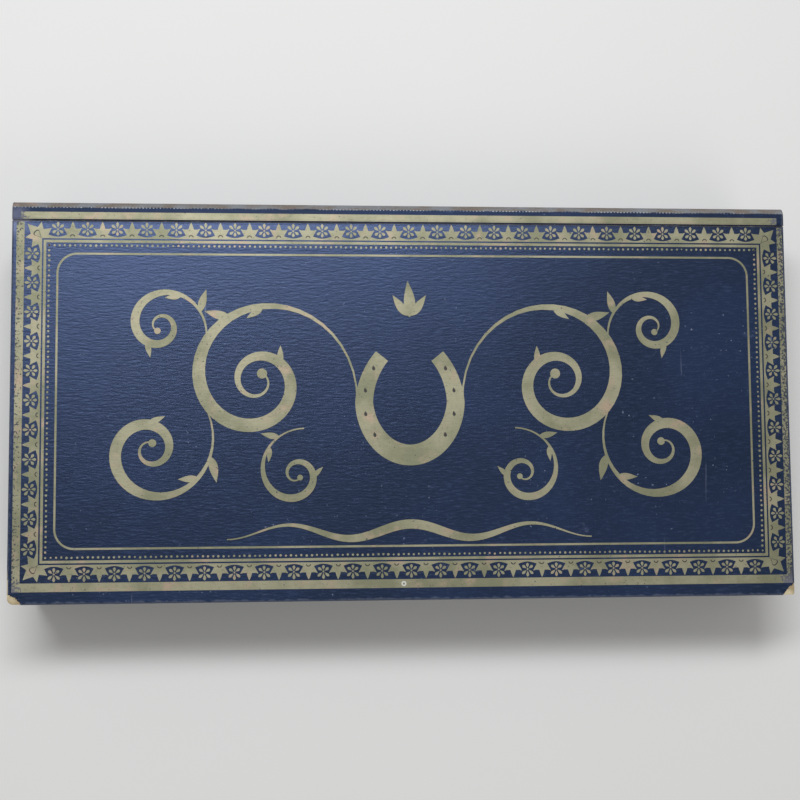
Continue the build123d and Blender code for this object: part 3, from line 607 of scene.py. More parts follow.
# %% The four sides of the border
left_x, right_x = print_middle[0] - print_half[0], print_middle[0] + print_half[0]
low_y, high_y = print_middle[1] - print_half[1], print_middle[1] + print_half[1]
long_run = dict(along=(1, 0), tiles=tiles_long, pitch=pitch_long)
deep_run = dict(along=(0, 1), tiles=tiles_deep, pitch=pitch_deep)
sides_of_border = (
    dict(start=(left_x, low_y), out=(0, -1), **long_run),
    dict(start=(left_x, high_y), out=(0, 1), **long_run),
    dict(start=(left_x, low_y), out=(-1, 0), **deep_run),
    dict(start=(right_x, low_y), out=(1, 0), **deep_run),
)
hand = np.random.default_rng(7)


def onto_side(side, outline, at, nudge):
    """An (along, outward) outline placed at a distance along a side."""
    shift = hand.normal(0, nudge, 2)
    start, along, out = (np.array(side[k], float) for k in ("start", "along", "out"))
    outline = np.asarray(outline) + shift * (1, 0.6)
    placed = start + (outline[:, :1] + at) * along + outline[:, 1:] * out
    return placed if np.cross(along, out) > 0 else placed[::-1]


def foil(name, outlines, body="lid", height=foil_height, finish=None, thick=foil_thick, lifts=None):
    """Flat outlines become one thin printed layer; where they cross, lifts keep them apart."""
    parts = []
    for outline, lift in zip(outlines, lifts or [0.0] * len(outlines)):
        flat = np.column_stack([outline, np.full(len(outline), height + lift)])
        parts.append((flat, [range(len(outline))]))
    points, faces = joined(parts)
    piece = make_piece(name, points, faces, body, finish or gilt, smooth=False)
    return thicken(piece, thick)


# %% [markdown]
# A short dark arc is printed at the foot of each star. Stars stand on the joints between tiles and
# florets in the middles, so a side has one star fewer than it has florets.

# %% Stars and florets
star_row, floret_row, dark_arcs = [], [], []
arc_line = on_circle(np.radians(np.linspace(18, 162, 9))) * 1.7 + (0, 1.65)
arc_outline = np.concatenate([arc_line, (arc_line * (0.74, 1) + (0, -0.62))[::-1]])
for side in sides_of_border:
    pitch = side["pitch"]
    for k in range(side["tiles"]):
        for petal in floret_outlines():
            floret_row.append(onto_side(side, petal, (k + 0.5) * pitch, 0.03))
        if k:
            star_row.append(onto_side(side, star_outline(pitch), k * pitch, 0.0))
            dark_arcs.append(onto_side(side, arc_outline, k * pitch, 0.12))
foil("gilt_stars", star_row)
foil("gilt_florets", floret_row)
print("stars", len(star_row), "petals", len(floret_row))

# %% [markdown]
# Each corner holds a larger star that points outwards at 45 degrees, with a fine dark leaf line
# drawn on it, and its two inner points run into the rows of tiles. Half tiles fill the gap between
# the corner and the first floret of each side.

# %% Corner stars


def corner_star():
    """Half of the corner piece as (outward, outward) distances, and its mirror image."""
    fan = fan_curve(pitch_long)[::-1] * (-1, 1)
    star = np.array([(-5.5, 7.2), (-4.2, 6.9), (-0.2, 6.5), (0.85, 11.2), (3.4, 7.7), (9.8, 9.8)])
    half = np.concatenate([[(-pitch_long / 2, base_line)], fan, star])
    return np.concatenate([half, half[-2::-1, ::-1], [(base_line, base_line)]])


def leaf_line():
    """A teardrop loop from the corner out to the star's middle, as a narrow band."""
    share = np.linspace(0, 1, 33)
    outward = 7.2 * np.sin(np.pi * share) ** 0.8
    across = 2.6 * np.sin(2 * np.pi * share) * np.sin(np.pi * share) ** 0.6
    line = np.stack([outward, across], axis=1)
    inner = (line - (4.0, 0)) * 0.80 + (4.0, 0)
    return turned(np.concatenate([line, inner[::-1]]), math.pi / 4)


def to_corner(outline, sx, sy):
    """An outline given outwards from the corner of the dark line, put at one of four corners."""
    corner = print_middle + print_half * (sx, sy)
    placed = corner + outline * (sx, sy)
    return placed if sx * sy > 0 else placed[::-1]


corner_shapes, corner_lines = [], []
for sx in (-1, 1):
    for sy in (-1, 1):
        corner_shapes.append(to_corner(corner_star()[::-1], sx, sy))
        corner_lines.append(to_corner(leaf_line(), sx, sy))
foil("gilt_corner_stars", corner_shapes, height=foil_height + 0.015)
dark_lines = dark_arcs + corner_lines
foil("dark_star_lines", dark_lines, height=foil_height + 0.03, finish=dark_ink, thick=0.02)
print("corner stars", len(corner_shapes), "dark lines", len(dark_lines))

# %% [markdown]
# The rules and bands are frames: the outline of a rectangle at one distance from the dark line, and
# again at another, joined by four-cornered faces. The hairline has round corners, and the bead row
# is a string of small discs.

# %% Rules, beads and the hairline


def strips_between(outer, inner):
    """Four-cornered strips that fill the gap between two closed lines of as many points."""
    following = np.roll(np.arange(len(outer)), -1)
    return [np.stack([outer[k], outer[n], inner[n], inner[k]]) for k, n in enumerate(following)]


def square_frame(begins, ends):
    """A frame between two rectangles, at distances inwards from the dark line."""
    signs = np.array([(-1, -1), (1, -1), (1, 1), (-1, 1)])
    outer, inner = (print_middle + (print_half - inset) * signs for inset in (begins, ends))
    return strips_between(outer, inner)


def rounded_line(radius, extra, steps=14):
    """A rounded rectangle inside the dark line, made larger all round by extra."""
    line = []
    for k, signs in enumerate(((1, 1), (-1, 1), (-1, -1), (1, -1))):
        centre = print_middle + (print_half - hair_in - radius) * signs
        directions = np.linspace(0, np.pi / 2, steps) + k * np.pi / 2
        line.append(centre + on_circle(directions) * (radius + extra))
    return np.concatenate(line)


def bead_row():
    """Small round dots along the rectangle at dot_in inside the dark line."""
    half = print_half - dot_in
    spots = []
    for axis in (0, 1):
        count = int(round(2 * half[axis] / dot_pitch))
        along = np.linspace(-half[axis], half[axis], count + 1)
        for side in (-1, 1):
            spot = np.zeros((count + 1, 2))
            spot[:, axis] = along
            spot[:, 1 - axis] = side * half[1 - axis]
            spots.append(spot[1:] if axis else spot)
    spots = np.concatenate(spots) + hand.normal(0, 0.10, (sum(map(len, spots)), 2))
    bead = on_circle(full_turn(10))
    sizes = dot_radius * (1 + hand.normal(0, 0.08, len(spots)))
    return [print_middle + spot + bead * size for spot, size in zip(spots, sizes)]


foil("gilt_inner_rule", square_frame(*inner_rule))
hairline = [rounded_line(hair_corner, extra) for extra in (hair_wide / 2, -hair_wide / 2)]
foil("gilt_hairline", strips_between(*hairline))
beads = bead_row()
foil("gilt_beads", beads)
print("beads", len(beads))

# %% [markdown]
# The broad outer band runs round the whole printed sheet. Its upper side lies on the fixed strip
# behind the fold, so that length rides on the case and the rest on the cover; the two side bands
# are cut where the cover folds. At the right the print runs off the board's edge.

# %% The outer band
band_in_x = (left_x - band_out[0] + 0.2, right_x + band_out[0] - 0.1)
band_left_out = left_x - band_out[1] + 0.7
band_right_out = half_long - 1.0
band_low = (low_y - band_out[1], low_y - band_out[0])
band_high = (fold_back + 0.6, 121.9)
band_end = fold_front - 0.7
rail_shorter = (2.5, 3.5)  # at the left and the right end of the rail's band


def rectangle(x0, x1, y0, y1):
    return np.array([(x0, y0), (x1, y0), (x1, y1), (x0, y1)])


foil(
    "gilt_cover_band",
    [
        rectangle(band_left_out, band_right_out, *band_low),
        rectangle(band_left_out, band_in_x[0], band_low[1], band_end),
        rectangle(band_in_x[1], band_right_out, band_low[1], band_end),
    ],
)
rail_band_x = (band_left_out + rail_shorter[0], band_right_out - rail_shorter[1])
foil("gilt_rail_band", [rectangle(*rail_band_x, *band_high)], body="case")
print("outer band from", round(band_left_out, 1), "to", round(band_right_out, 1))

# %% [markdown]
# ## The middle ornament
#
# The field inside the hairline carries a penman's ornament: a horseshoe between swelling scrolls.
# A penman's stroke is a path with a width that grows from nothing to full and back, so a stroke is
# worked out from its path by stepping half the width to each side. The scrolls are spirals whose
# radius shrinks by the same share for every degree turned.

# %% Swelling strokes


def stroke(path, widths):
    """Strips between the two sides of a path, each half the width away along the normal."""
    step = np.gradient(path, axis=0)
    length = np.linalg.norm(step, axis=1, keepdims=True)
    normal = np.stack([-step[:, 1], step[:, 0]], axis=1) / length
    widths = np.asarray(widths, float)
    left = path + normal * widths[:, None] / 2
    right = path - normal * widths[:, None] / 2
    return [np.stack([right[k], right[k + 1], left[k + 1], left[k]]) for k in range(len(path) - 1)]


def swell(count, least, most, peak=0.35):
    """Widths that rise to their fullest at peak and fall again, as pen pressure does."""
    share = np.linspace(0, 1, count)
    warped = np.where(share < peak, share / peak, (1 - share) / (1 - peak))
    return least + (most - least) * np.sin(warped * np.pi / 2) ** 2.2


def spiral(centre, radius, last_radius, start, sweep, count=90):
    """A path whose radius falls evenly in proportion from radius to last_radius."""
    share = np.linspace(0, 1, count)
    shrinking = radius * (last_radius / radius) ** share
    return np.array(centre) + on_circle(np.radians(start + sweep * share)) * shrinking[:, None]


def disc(centre, radius):
    return np.array(centre) + on_circle(full_turn(18)) * radius


def leaf(base, angle, length, wide):
    """A pointed leaf with a slight bend: its half width is a sine that peaks near the base."""
    share = np.linspace(0, 1, 15)
    half = wide / 2 * np.sin(np.pi * share**0.75)
    bend = 0.12 * length * share**2
    top = np.stack([share * length, bend + half], axis=1)
    under = np.stack([share * length, bend - half], axis=1)
    shape = np.concatenate([under, top[-2:0:-1]])
    return turned(shape, math.radians(angle)) + np.array(base)


def sprig(path, share, side, length, wide):
    """A leaf that grows from a path at a share of its length, to its left (1) or right (-1)."""
    at = int(share * (len(path) - 1))
    ahead = path[min(at + 1, len(path) - 1)] - path[at - 1]
    angle = math.degrees(math.atan2(ahead[1], ahead[0])) + 38 * side
    return leaf(path[at], angle, length, wide)


# %% [markdown]
# Four stems make the right half of the ornament, and its mirror image the left one. A stem is noted
# as its spiral (centre, first and last radius, start, degrees turned), its pen pressure (least and
# most width, and where it is fullest), and its leaves (place along the stem, side and length).
# Strokes that cross would fight for the same height, so each group is lifted a hair above the last.

# %% The ornament
ornament_middle = np.array([print_middle[0], -2.0])
lift_step = 0.008
shoe_half = (30.0, 37.0)
shoe_up = 3.0
nail_turns = (148, 172, 196, 220, 320, 344, 368, 392)
stems = (
    ((99, 14), 66, 6.0, 192, -790),
    ((167, -30), 46, 4.6, 132, 696),
    ((161, 50), 33, 3.8, 218, -640),
    ((74, -46), 30, 3.4, 100, -600),
)
pressures = ((1.1, 8.8, 0.28), (1.0, 7.4, 0.30), (0.9, 5.6, 0.32), (0.9, 4.8, 0.30))
leaves = (
    ((0.16, 1, 17), (0.13, -1, 13), (0.52, 1, 12)),
    ((0.08, -1, 17), (0.12, 1, 13), (0.46, -1, 12)),
    ((0.10, 1, 15), (0.15, -1, 11), (0.42, 1, 11)),
    ((0.06, 1, 12), (0.10, -1, 10), (0.46, 1, 9)),
)


def on_shoe(degrees):
    """Points on the middle line of the horseshoe, which turns in a little towards its heels."""
    points = on_circle(np.radians(degrees)) * shoe_half + (0, shoe_up)
    points[:, 0] *= 1 - 0.10 * np.clip(points[:, 1] / 30, 0, 1)
    return points


def ornament_half():
    """Groups of outlines for the right half: a stroke, its bead and the leaves that grow on it."""
    groups = []
    for stem, (least, most, peak), grown in zip(stems, pressures, leaves):
        path = spiral(*stem)
        groups.append(stroke(path, swell(len(path), least, most, peak)))
        groups.append([disc(path[-1], stem[2] * 0.55)])
        for share, side, length in grown:
            groups.append([sprig(path, share, side, length, length * 0.34)])
    return groups


def mirrored(shapes):
    return [shape[::-1] * (-1, 1) for shape in shapes]


round_shoe = np.linspace(-138, 138, 70)
shoe_width = 9.5 + 4.0 * (np.cos(np.radians(round_shoe)) + 1) / 2  # widest at the toe
right_half = ornament_half()
sweep = np.linspace(-1, 1, 80)
underline = np.stack([sweep * 118, -83 + 4.5 * np.cos(sweep * 3 * np.pi)], axis=1)
groups = [stroke(on_shoe(270 + round_shoe), shoe_width)]
groups += right_half + [mirrored(group) for group in right_half]
groups.append(stroke(underline, 0.8 + 5.2 * np.cos(sweep * np.pi / 2) ** 2))
side_leaf = [leaf((0.6, 57), 46, 17, 5.6)]
groups += [[leaf((0, 56), 86, 24, 7.5)], side_leaf, mirrored(side_leaf)]
outlines = [shape + ornament_middle for group in groups for shape in group]
lifts = [k * lift_step for k, group in enumerate(groups) for _ in group]
foil("gilt_ornament", outlines, height=foil_height + 0.01, lifts=lifts)
nail_spots = on_shoe(nail_turns) - (0, 1.6) + ornament_middle
nail_holes = [leaf(spot, 90, 3.4, 2.1) for spot in nail_spots]
foil("dark_nail_holes", nail_holes, height=foil_height + 0.05, finish=dark_ink, thick=0.03)
print("ornament outlines", len(outlines), "in", len(groups), "groups")

# %% [markdown]
# ## The spine
#
# Behind the fold the same paper runs on over the hinge rail and turns down the back, where a strip
# of book cloth takes over. Handling has worn the rounding through to the grey-brown threads, and
# a broken line of pale flecks marks the ridge. The rounding faces up, and a painted sheen makes it
# lighter than the same cloth down the back. All that wear and the painted sheen are painted by
# place: the distance back from the fold decides which colour shows, and noise makes the border
# between them ragged.

# %% Spine and rail covering
ridge_y = 124.9  # the worn ridge, where the navy ends
turn_radius = back_y - 123.2
dash_pitch = 2.2  # of the pale flecks along the ridge


def spine_section():
    """The wrap's section: from the fold back over the rounded edge and down to the table."""
    centre = np.array([back_y - turn_radius, case_top - turn_radius])
    rounding = centre + turn_radius * on_circle(np.linspace(np.pi / 2, 0, 12))
    fold = [(fold_back - 0.02, case_top - 0.9), (fold_back + 0.02, case_top - 0.3)]
    fold += [(fold_back + 0.4, case_top - 0.02), (fold_back + 1.2, case_top)]
    down = [(back_y, z) for z in np.linspace(case_top - turn_radius - 3, 0.3, 12)]
    return np.concatenate([fold, rounding, down])


def carried_along(section, places):
    """A section in y and z carried along x: one row of points for each place."""
    points = np.zeros((len(places), len(section), 3))
    points[:, :, 0] = np.asarray(places)[:, None]
    points[:, :, 1:] = section
    return points


def spine_finish():
    """Navy to the ridge, worn threads with a painted sheen, and plainer grey-blue down the back."""
    finish = Finish("worn spine cloth", Specular_IOR_Level=0.5, Specular_Tint=SHEEN)
    x, y, z = finish.axis("X"), finish.axis("Y"), finish.axis("Z")
    navy, grain, _ = paper_colour(finish, half_long - x.size())
    ragged = finish.noise(90.0, detail=5.0) * 2.4 - 1.2
    past = finish.step(y + ragged, ridge_y - 0.3, ridge_y + 0.5)
    down = 1.0 - finish.step(z, 66.0, 71.0)
    threads = finish.noise(900.0, stretch=(1, 3, 3), detail=2.0)
    cloudy = finish.noise(60.0, stretch=(1, 2, 2), detail=5.0)
    # The rounding's worn grey-brown and its pale threads are painted lighter than the back: a
    # painted sheen where it faces up.
    grey = finish.mix(finish.step(cloudy, 0.38, 0.64), CLOTH_BROWN, CLOTH_GREY_WITH_SHEEN)
    grey = finish.mix(finish.step(threads, 0.45, 0.75) * 0.5, grey, chip(158, 160, 164))
    back = finish.mix(finish.step(cloudy, 0.30, 0.75), chip(84, 90, 100), chip(104, 106, 108))
    back = finish.mix(finish.step(threads, 0.45, 0.75) * 0.4, back, chip(124, 128, 134))
    colour = finish.mix(past, navy, grey)
    colour = finish.mix(down * past, colour, back)
    near_ridge = 1.0 - finish.step((y - ridge_y).size(), 0.1, 0.5)
    beat = sine_of(x * (2 * math.pi / dash_pitch)) * 0.25 + finish.noise(260.0, detail=2.0)
    dashes = finish.step(beat, 0.56, 0.70) * finish.step(finish.noise(24.0), 0.36, 0.56)
    colour = finish.mix(near_ridge * dashes * 0.8, colour, chip(190, 196, 204))
    left_end = (1.0 - finish.step(x + half_long, 8.0, 22.0)) * finish.step(z, 69.0, 73.0)
    torn = left_end * finish.step(y + ragged, ridge_y + 0.4, ridge_y + 1.2)
    colour = finish.mix(torn * finish.step(cloudy, 0.42, 0.5) * 0.6, colour, chip(164, 134, 118))
    bump = finish.bumps(grain * (1.0 - past) + threads * past, 0.2)
    return finish.wear(Base_Color=colour, Roughness=0.55 + past * 0.35, Normal=bump)


spine_end = half_long + 0.2
between = np.linspace(1 - half_long, half_long - 1, 60)
points = carried_along(spine_section(), [-spine_end, *between, spine_end])
spine_wrap = make_piece(
    "spine_wrap",
    points,
    grid_faces(*points.shape[:2])[:, ::-1],
    "case",
    spine_finish(),
    stands_for=["rail_cover_paper", "spine_cloth"],
)
thicken(spine_wrap, skin_thick)
print("spine turns down with a radius of", round(float(turn_radius), 2))

# %% [markdown]
# The fold itself is paper and cloth that bend each time the case is opened. Both strips are made
# across the gap, and ride on neither the cover nor the case.
# The paper dips into a shallow groove along the fold; inside, the cloth runs under the cover, up
# the gap and down the front of the rail.

# %% The fold
fold_half = 1.6
fold_thick = 0.14
groove_deep = 0.55
share = np.linspace(-1, 1, 13)
dip = groove_deep * (1 - np.abs(share)) ** 1.5
section = np.stack([fold_y + fold_half * share, case_top + 0.03 - dip], axis=1)
points = carried_along(section, np.linspace(-half_long + 0.2, half_long - 0.2, 40))
fold_finish = Finish("rubbed fold paper", Specular_IOR_Level=0.2)
from_end = half_long - fold_finish.axis("X").size()
fold_colour, fold_grain, _ = paper_colour(fold_finish, from_end)
cracked = fold_finish.step(fold_finish.noise(200.0, stretch=(1, 0.2, 1), detail=3.0), 0.55, 0.65)
fold_colour = fold_finish.mix(cracked * 0.35, fold_colour, chip(98, 104, 120))
fold_bumps = fold_finish.bumps(fold_grain, 0.2)
fold_paper = make_piece(
    "fold_paper",
    points,
    grid_faces(*points.shape[:2])[:, ::-1],
    None,
    fold_finish.wear(Base_Color=fold_colour, Roughness=0.6, Normal=fold_bumps),
)
settle(thicken(fold_paper, fold_thick))
before, after = (0, (fold_y - 0.35) * MM, 0.076), (0, (fold_y + 0.35) * MM, 0.076)
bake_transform(fold_paper)
print("fold strip spans", 2 * fold_half, "mm")

# %% The hinge cloth
cloth_low, cloth_high = box_mm("inner_hinge_cloth")
cloth_thick = 0.16
under_lid = lid_low[2]
in_gap = 0.12  # half the gap between the two layers of cloth
loop_height = case_top - 0.95
loop = on_circle(np.linspace(np.pi, 0, 9)) * in_gap + (fold_y, loop_height)
pasted = under_lid - cloth_thick
section = np.concatenate(
    [
        [(cloth_low[1] + 0.3, pasted), (fold_front - 1.2, pasted)],
        [(fold_front - 0.2, under_lid - 0.1), (fold_y - in_gap, under_lid + 0.3)],
        loop,
        [(fold_y + in_gap, under_lid + 0.3), (fold_y + in_gap, case_top - 9.2)],
    ]
)
points = carried_along(section, np.linspace(cloth_low[0] + 0.3, cloth_high[0] - 0.3, 30))
weave = dict(depth=0.15, stretch=(1, 2.5, 2.5), detail=1.0, Roughness=0.9, Specular_IOR_Level=0.1)
book_cloth = mottled("blue hinge cloth", 1400.0, chip(34, 40, 58), chip(64, 70, 88), **weave)
faces = grid_faces(*points.shape[:2])
hinge_cloth = make_piece(
    "hinge_cloth", points, faces, None, book_cloth, stands_for=["inner_hinge_cloth"]
)
settle(thicken(hinge_cloth, cloth_thick, side=0.0))
before, after = (0, (fold_y - 0.1) * MM, 0.076), (0, (fold_y + 0.1) * MM, 0.076)
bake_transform(hinge_cloth)
print("hinge cloth", points.shape[:2])

# %% [markdown]
# ## Boards, papers and woods
#
# The solids of the case keep their own shape and only need the right finish. Each is painted whole
# with one helper. The cover's board shows as cream pulp at the torn corners, is navy at its edges
# where the paper turns in, and is dirty wherever it is bare.

# %% Finishes for the solids


def paint(finish, *names):
    """Gives solids one finish all over."""
    for name in names:
        mesh = bpy.data.objects[name].data
        mesh.materials.clear()
        mesh.materials.append(finish)


def pasteboard_finish():
    finish = Finish("cream pasteboard", Roughness=0.9, Specular_IOR_Level=0.15)
    pulp = finish.noise(120.0, detail=5.0)
    colour = finish.mix(finish.step(pulp, 0.35, 0.7), BOARD_DIRTY, BOARD)
    plies = finish.noise(30.0, stretch=(0.3, 0.3, 60), detail=2.0)
    colour = finish.mix(finish.step(plies, 0.5, 0.62) * 0.35, colour, chip(140, 122, 92))
    edge = from_edge(finish).least(fold_front - finish.axis("Y"))
    under = 1.0 - finish.step(finish.axis("Z"), lid_low[2] + 0.1, lid_low[2] + 0.6)
    turned_in = 1.0 - finish.step(edge + finish.noise(60.0) * 1.5, 13.5, 13.9)
    colour = finish.mix(under * turned_in, colour, NAVY_DEEP)
    return finish.wear(Base_Color=colour, Normal=finish.bumps(pulp, 0.15))


def base_finish():
    finish = Finish("bottom board", Roughness=0.8, Specular_IOR_Level=0.2)
    edge = from_edge(finish)
    colour, grain, _ = paper_colour(finish, edge)
    below = 1.0 - finish.step(finish.axis("Z"), 0.1, 0.5)
    scuffs = finish.noise(40.0, stretch=(1, 0.3, 1), turn=0.4, detail=6.0, roughness=0.7)
    plain = finish.mix(finish.step(scuffs, 0.4, 0.7), chip(66, 66, 72), chip(118, 112, 100))
    colour = finish.mix(below * finish.step(edge, 12.0, 12.4), colour, plain)
    return finish.wear(Base_Color=colour, Normal=finish.bumps(grain, 0.2))


def wall_paper_finish():
    finish = Finish("plain navy paper", Roughness=0.66, Specular_IOR_Level=0.2)
    z = finish.axis("Z")
    colour, grain, _ = paper_colour(finish, (z - 3.0).least(lid_low[2] - z) + 1.5)
    streaks = finish.noise(30.0, stretch=(0.3, 0.3, 2.0), detail=5.0)
    colour = finish.mix(finish.step(streaks, 0.55, 0.8) * 0.4, colour, chip(86, 88, 100))
    return finish.wear(Base_Color=colour, Normal=finish.bumps(grain, 0.2))


def rail_finish():
    """The rail is covered at its ends and bare poplar where it can be seen from inside."""
    finish = Finish("hinge rail", Roughness=0.8, Specular_IOR_Level=0.2)
    ends = finish.step(finish.axis("X").size(), half_long - 0.3, half_long - 0.1)
    rubs = finish.noise(150.0, detail=5.0)
    cover = finish.mix(finish.step(rubs, 0.40, 0.80), chip(52, 60, 82), chip(96, 98, 110))
    wood = finish.noise(60.0, stretch=(0.06, 1, 1), detail=5.0)
    bare = finish.mix(wood, chip(150, 120, 82), chip(182, 152, 110))
    return finish.wear(Base_Color=finish.mix(ends, bare, cover), Normal=finish.bumps(rubs, 0.2))


def wood_finish(name, dark, light, gloss, along="X"):
    """Straight grain: noise squeezed along the plank, with darker pores on top of it."""
    finish = Finish(name, Specular_IOR_Level=0.35)
    squeeze = (0.05, 1, 1) if along == "X" else (1, 0.05, 1)
    broad = finish.noise(54.0, stretch=squeeze, detail=4.0, roughness=0.6)
    fine = finish.noise(540.0, stretch=squeeze, detail=3.0)
    pore = tuple(c * 0.5 for c in dark[:3]) + (1.0,)
    colour = finish.mix(finish.step(broad, 0.35, 0.65), dark, light)
    colour = finish.mix(finish.step(fine, 0.56, 0.68) * 0.5, colour, pore)
    bump = finish.bumps(fine, 0.08)
    return finish.wear(Base_Color=colour, Roughness=gloss + fine * 0.15, Normal=bump)


paint(pasteboard_finish(), "lid_board")
paint(base_finish(), "bottom_board", "spine_board")
paint(wall_paper_finish(), "wall_covering")
paint(rail_finish(), "hinge_rail")
wood = wood_finish("stained poplar", chip(122, 84, 48), chip(158, 116, 72), 0.62)
paint(wood, "tray_floor", "front_wall", "back_wall", "deck_board", "deck_battens")
wood = wood_finish("stained poplar ends", chip(118, 80, 46), chip(152, 110, 68), 0.62, along="Y")
paint(wood, "left_wall", "right_wall")
wood = wood_finish("mahogany slats", chip(74, 32, 18), chip(112, 54, 30), 0.3)
paint(wood, "cross_divider", "counter_lid")
wood = wood_finish("mahogany runners", chip(72, 32, 18), chip(108, 52, 30), 0.3, along="Y")
paint(wood, "left_divider", "right_divider", "lid_runners", "counter_rack")
print("finishes so far", len(bpy.data.materials))

# %% [markdown]
# Inside the cover is a pasted sheet, browned at the edges and spotted with age, with a printed
# double rule round it. A rule is the distance to the sheet's edge falling between two values.

# %% Lining of the cover


def from_sides(finish, node):
    """The distance to the nearest side of a flat sheet, in millimetres."""
    low, high = (corner.tolist() for corner in box_mm(node))
    x, y = finish.axis("X"), finish.axis("Y")
    return (x - low[0]).least(high[0] - x).least(y - low[1]).least(high[1] - y)


def lining_finish():
    finish = Finish("foxed lining paper", Roughness=0.85, Specular_IOR_Level=0.15)
    edge = from_sides(finish, "lid_lining")
    tone = finish.mix(finish.noise(8.0, detail=5.0), chip(206, 188, 150), chip(226, 212, 178))
    browned = 1.0 - finish.step(edge + finish.noise(40.0) * 8.0, 2.0, 14.0)
    tone = finish.mix(browned * 0.5, tone, chip(160, 130, 88))
    spots = finish.step(finish.noise(110.0, detail=2.0), 0.70, 0.76)
    tone = finish.mix(spots * 0.45, tone, chip(150, 108, 66))
    outer = (edge > 9.0) * (edge < 10.4)
    inner = (edge > 11.6) * (edge < 12.1)
    tone = finish.mix(outer.most(inner) * 0.85, tone, chip(52, 58, 96))
    return finish.wear(Base_Color=tone, Normal=finish.bumps(finish.noise(500.0), 0.05))


paint(lining_finish(), "lid_lining")
print("lining painted")

# %% [markdown]
# ## Metals and turned pieces
#
# Three metals appear: brass for wheels, bushes and wires, mild steel for shafts and screws, and
# iron japanned black for the crank arm. Old brass is brown in the hollows and brighter where it is
# rubbed, which cloudy noise gives well enough at this scale.

# %% Metals


def metal_finish(name, dull, bright, gloss):
    finish = Finish(name, Metallic=1.0)
    clouds = finish.noise(60.0, detail=5.0)
    fine = finish.noise(840.0, stretch=(1, 1, 3), detail=2.0)
    colour = finish.mix(finish.step(clouds, 0.36, 0.66), dull, bright)
    bump = finish.bumps(fine, 0.02)
    return finish.wear(Base_Color=colour, Roughness=gloss + clouds * 0.25, Normal=bump)


brass = metal_finish("aged brass", chip(150, 112, 58), chip(206, 166, 92), 0.24)
steel = metal_finish("mild steel", chip(128, 124, 118), chip(176, 176, 176), 0.26)
enamel = Finish("black japanning", Specular_IOR_Level=0.6)
chips_off = enamel.step(enamel.noise(260.0, detail=3.0), 0.68, 0.72)
japan_tone = enamel.mix(chips_off, chip(22, 21, 22), chip(110, 104, 98))
japan = enamel.wear(Base_Color=japan_tone, Roughness=0.22 + chips_off * 0.4)
eyelet = mottled("eyelet enamel", 900.0, chip(196, 198, 188), chip(222, 222, 214), Roughness=0.4)
paint(eyelet, "lid_eyelet")
paint(brass, "spindle_footstep", "crank_footstep", "spindle_bush", "crank_bush", "crank_gear")
paint(brass, "idler_gear", "spindle_pinion", "finial_nut", *[f"horse_arm_{n}" for n in range(1, 5)])
paint(steel, "wall_brads", "deck_screws", "spindle", "crank_shaft", "knob_pin", "idler_stud")
paint(steel, "spring_washer", "crank_nut")
paint(japan, "crank_arm")

ebony = Finish("ebonised knobs", Specular_IOR_Level=0.55)
grain_lines = ebony.noise(160.0, stretch=(1, 1, 0.1), detail=4.0)
ebony_tone = ebony.mix(grain_lines, chip(24, 18, 15), chip(52, 38, 30))
ebonised = ebony.wear(Base_Color=ebony_tone, Roughness=0.2 + grain_lines * 0.2)
paint(ebonised, "crank_knob", "counter_lid_knob")
fuzz = dict(depth=0.2, detail=2.0, Roughness=1.0, Specular_IOR_Level=0.05)
felt = mottled("red felt", 2500.0, chip(120, 26, 28), chip(168, 48, 44), **fuzz)
paint(felt, "friction_washers")
print("metals and turned pieces painted")

# %% [markdown]
# ## The course
#
# The course is green cloth with four lanes printed in white. Every mark is a function of the
# distance from the spindle: a lane line is where that distance is within half a millimetre of the
# line's radius. The winning line points at the post; it is chequered by taking the sign of a
# product of sines of the distances along it and across it.

# %% The green cloth
ground = float(box_mm("course_cloth")[1][2])
lane_lines = (30.0, 50.0, 70.0, 90.0, 110.0)
home_turn = math.radians(-63.0)  # where the winning line points
home_half = 2.6


def turf_finish():
    finish = Finish("course cloth", Roughness=0.95, Specular_IOR_Level=0.05)
    x, y = finish.axis("X"), finish.axis("Y")
    radius = length_of(x, y)
    nap = finish.noise(1600.0, detail=2.0)
    clouds = finish.noise(30.0, detail=5.0)
    green = finish.mix(clouds, chip(52, 88, 44), chip(78, 118, 58))
    green = finish.mix(finish.step(nap, 0.4, 0.7) * 0.5, green, chip(104, 138, 76))
    worn = 1.0 - finish.step((radius - 70.0).size(), 4.0, 34.0)
    green = finish.mix(worn * clouds * 0.4, green, chip(120, 132, 84))
    line = (radius - lane_lines[0]).size() < 0.4
    for at in lane_lines[1:]:
        line = line.most((radius - at).size() < 0.4)
    along = x * math.cos(home_turn) + y * math.sin(home_turn)
    beside = y * math.cos(home_turn) - x * math.sin(home_turn)
    home = (beside.size() < home_half) * (along > lane_lines[0]) * (along < lane_lines[-1])
    white = (sine_of(along * (math.pi / home_half)) * sine_of(beside * (math.pi / home_half))) > 0.0
    green = finish.mix(line * 0.8, green, chip(214, 214, 196))
    green = finish.mix(home, green, finish.mix(white, chip(34, 36, 34), chip(224, 222, 208)))
    return finish.wear(Base_Color=green, Normal=finish.bumps(nap, 0.25))


paint(turf_finish(), "course_cloth")

white_wire = Finish("white rails", Roughness=0.4)
rust = white_wire.step(white_wire.noise(300.0, detail=3.0), 0.64, 0.70)
rail_tone = white_wire.mix(rust, chip(222, 218, 204), chip(138, 104, 74))
paint(white_wire.wear(Base_Color=rail_tone), "course_rails")

pool = Finish("water jump", Specular_IOR_Level=0.5)
hedge = pool.axis("Z") > ground + 0.7
ripples = pool.noise(170.0, detail=3.0)
blue = pool.mix(ripples, chip(58, 104, 138), chip(126, 168, 188))
pool_tone = pool.mix(hedge, blue, chip(40, 70, 34))
pool_gloss = 0.18 + hedge * 0.7
pool.wear(Base_Color=pool_tone, Roughness=pool_gloss, Normal=pool.bumps(ripples, 0.3))
paint(pool.material, "water_jump")

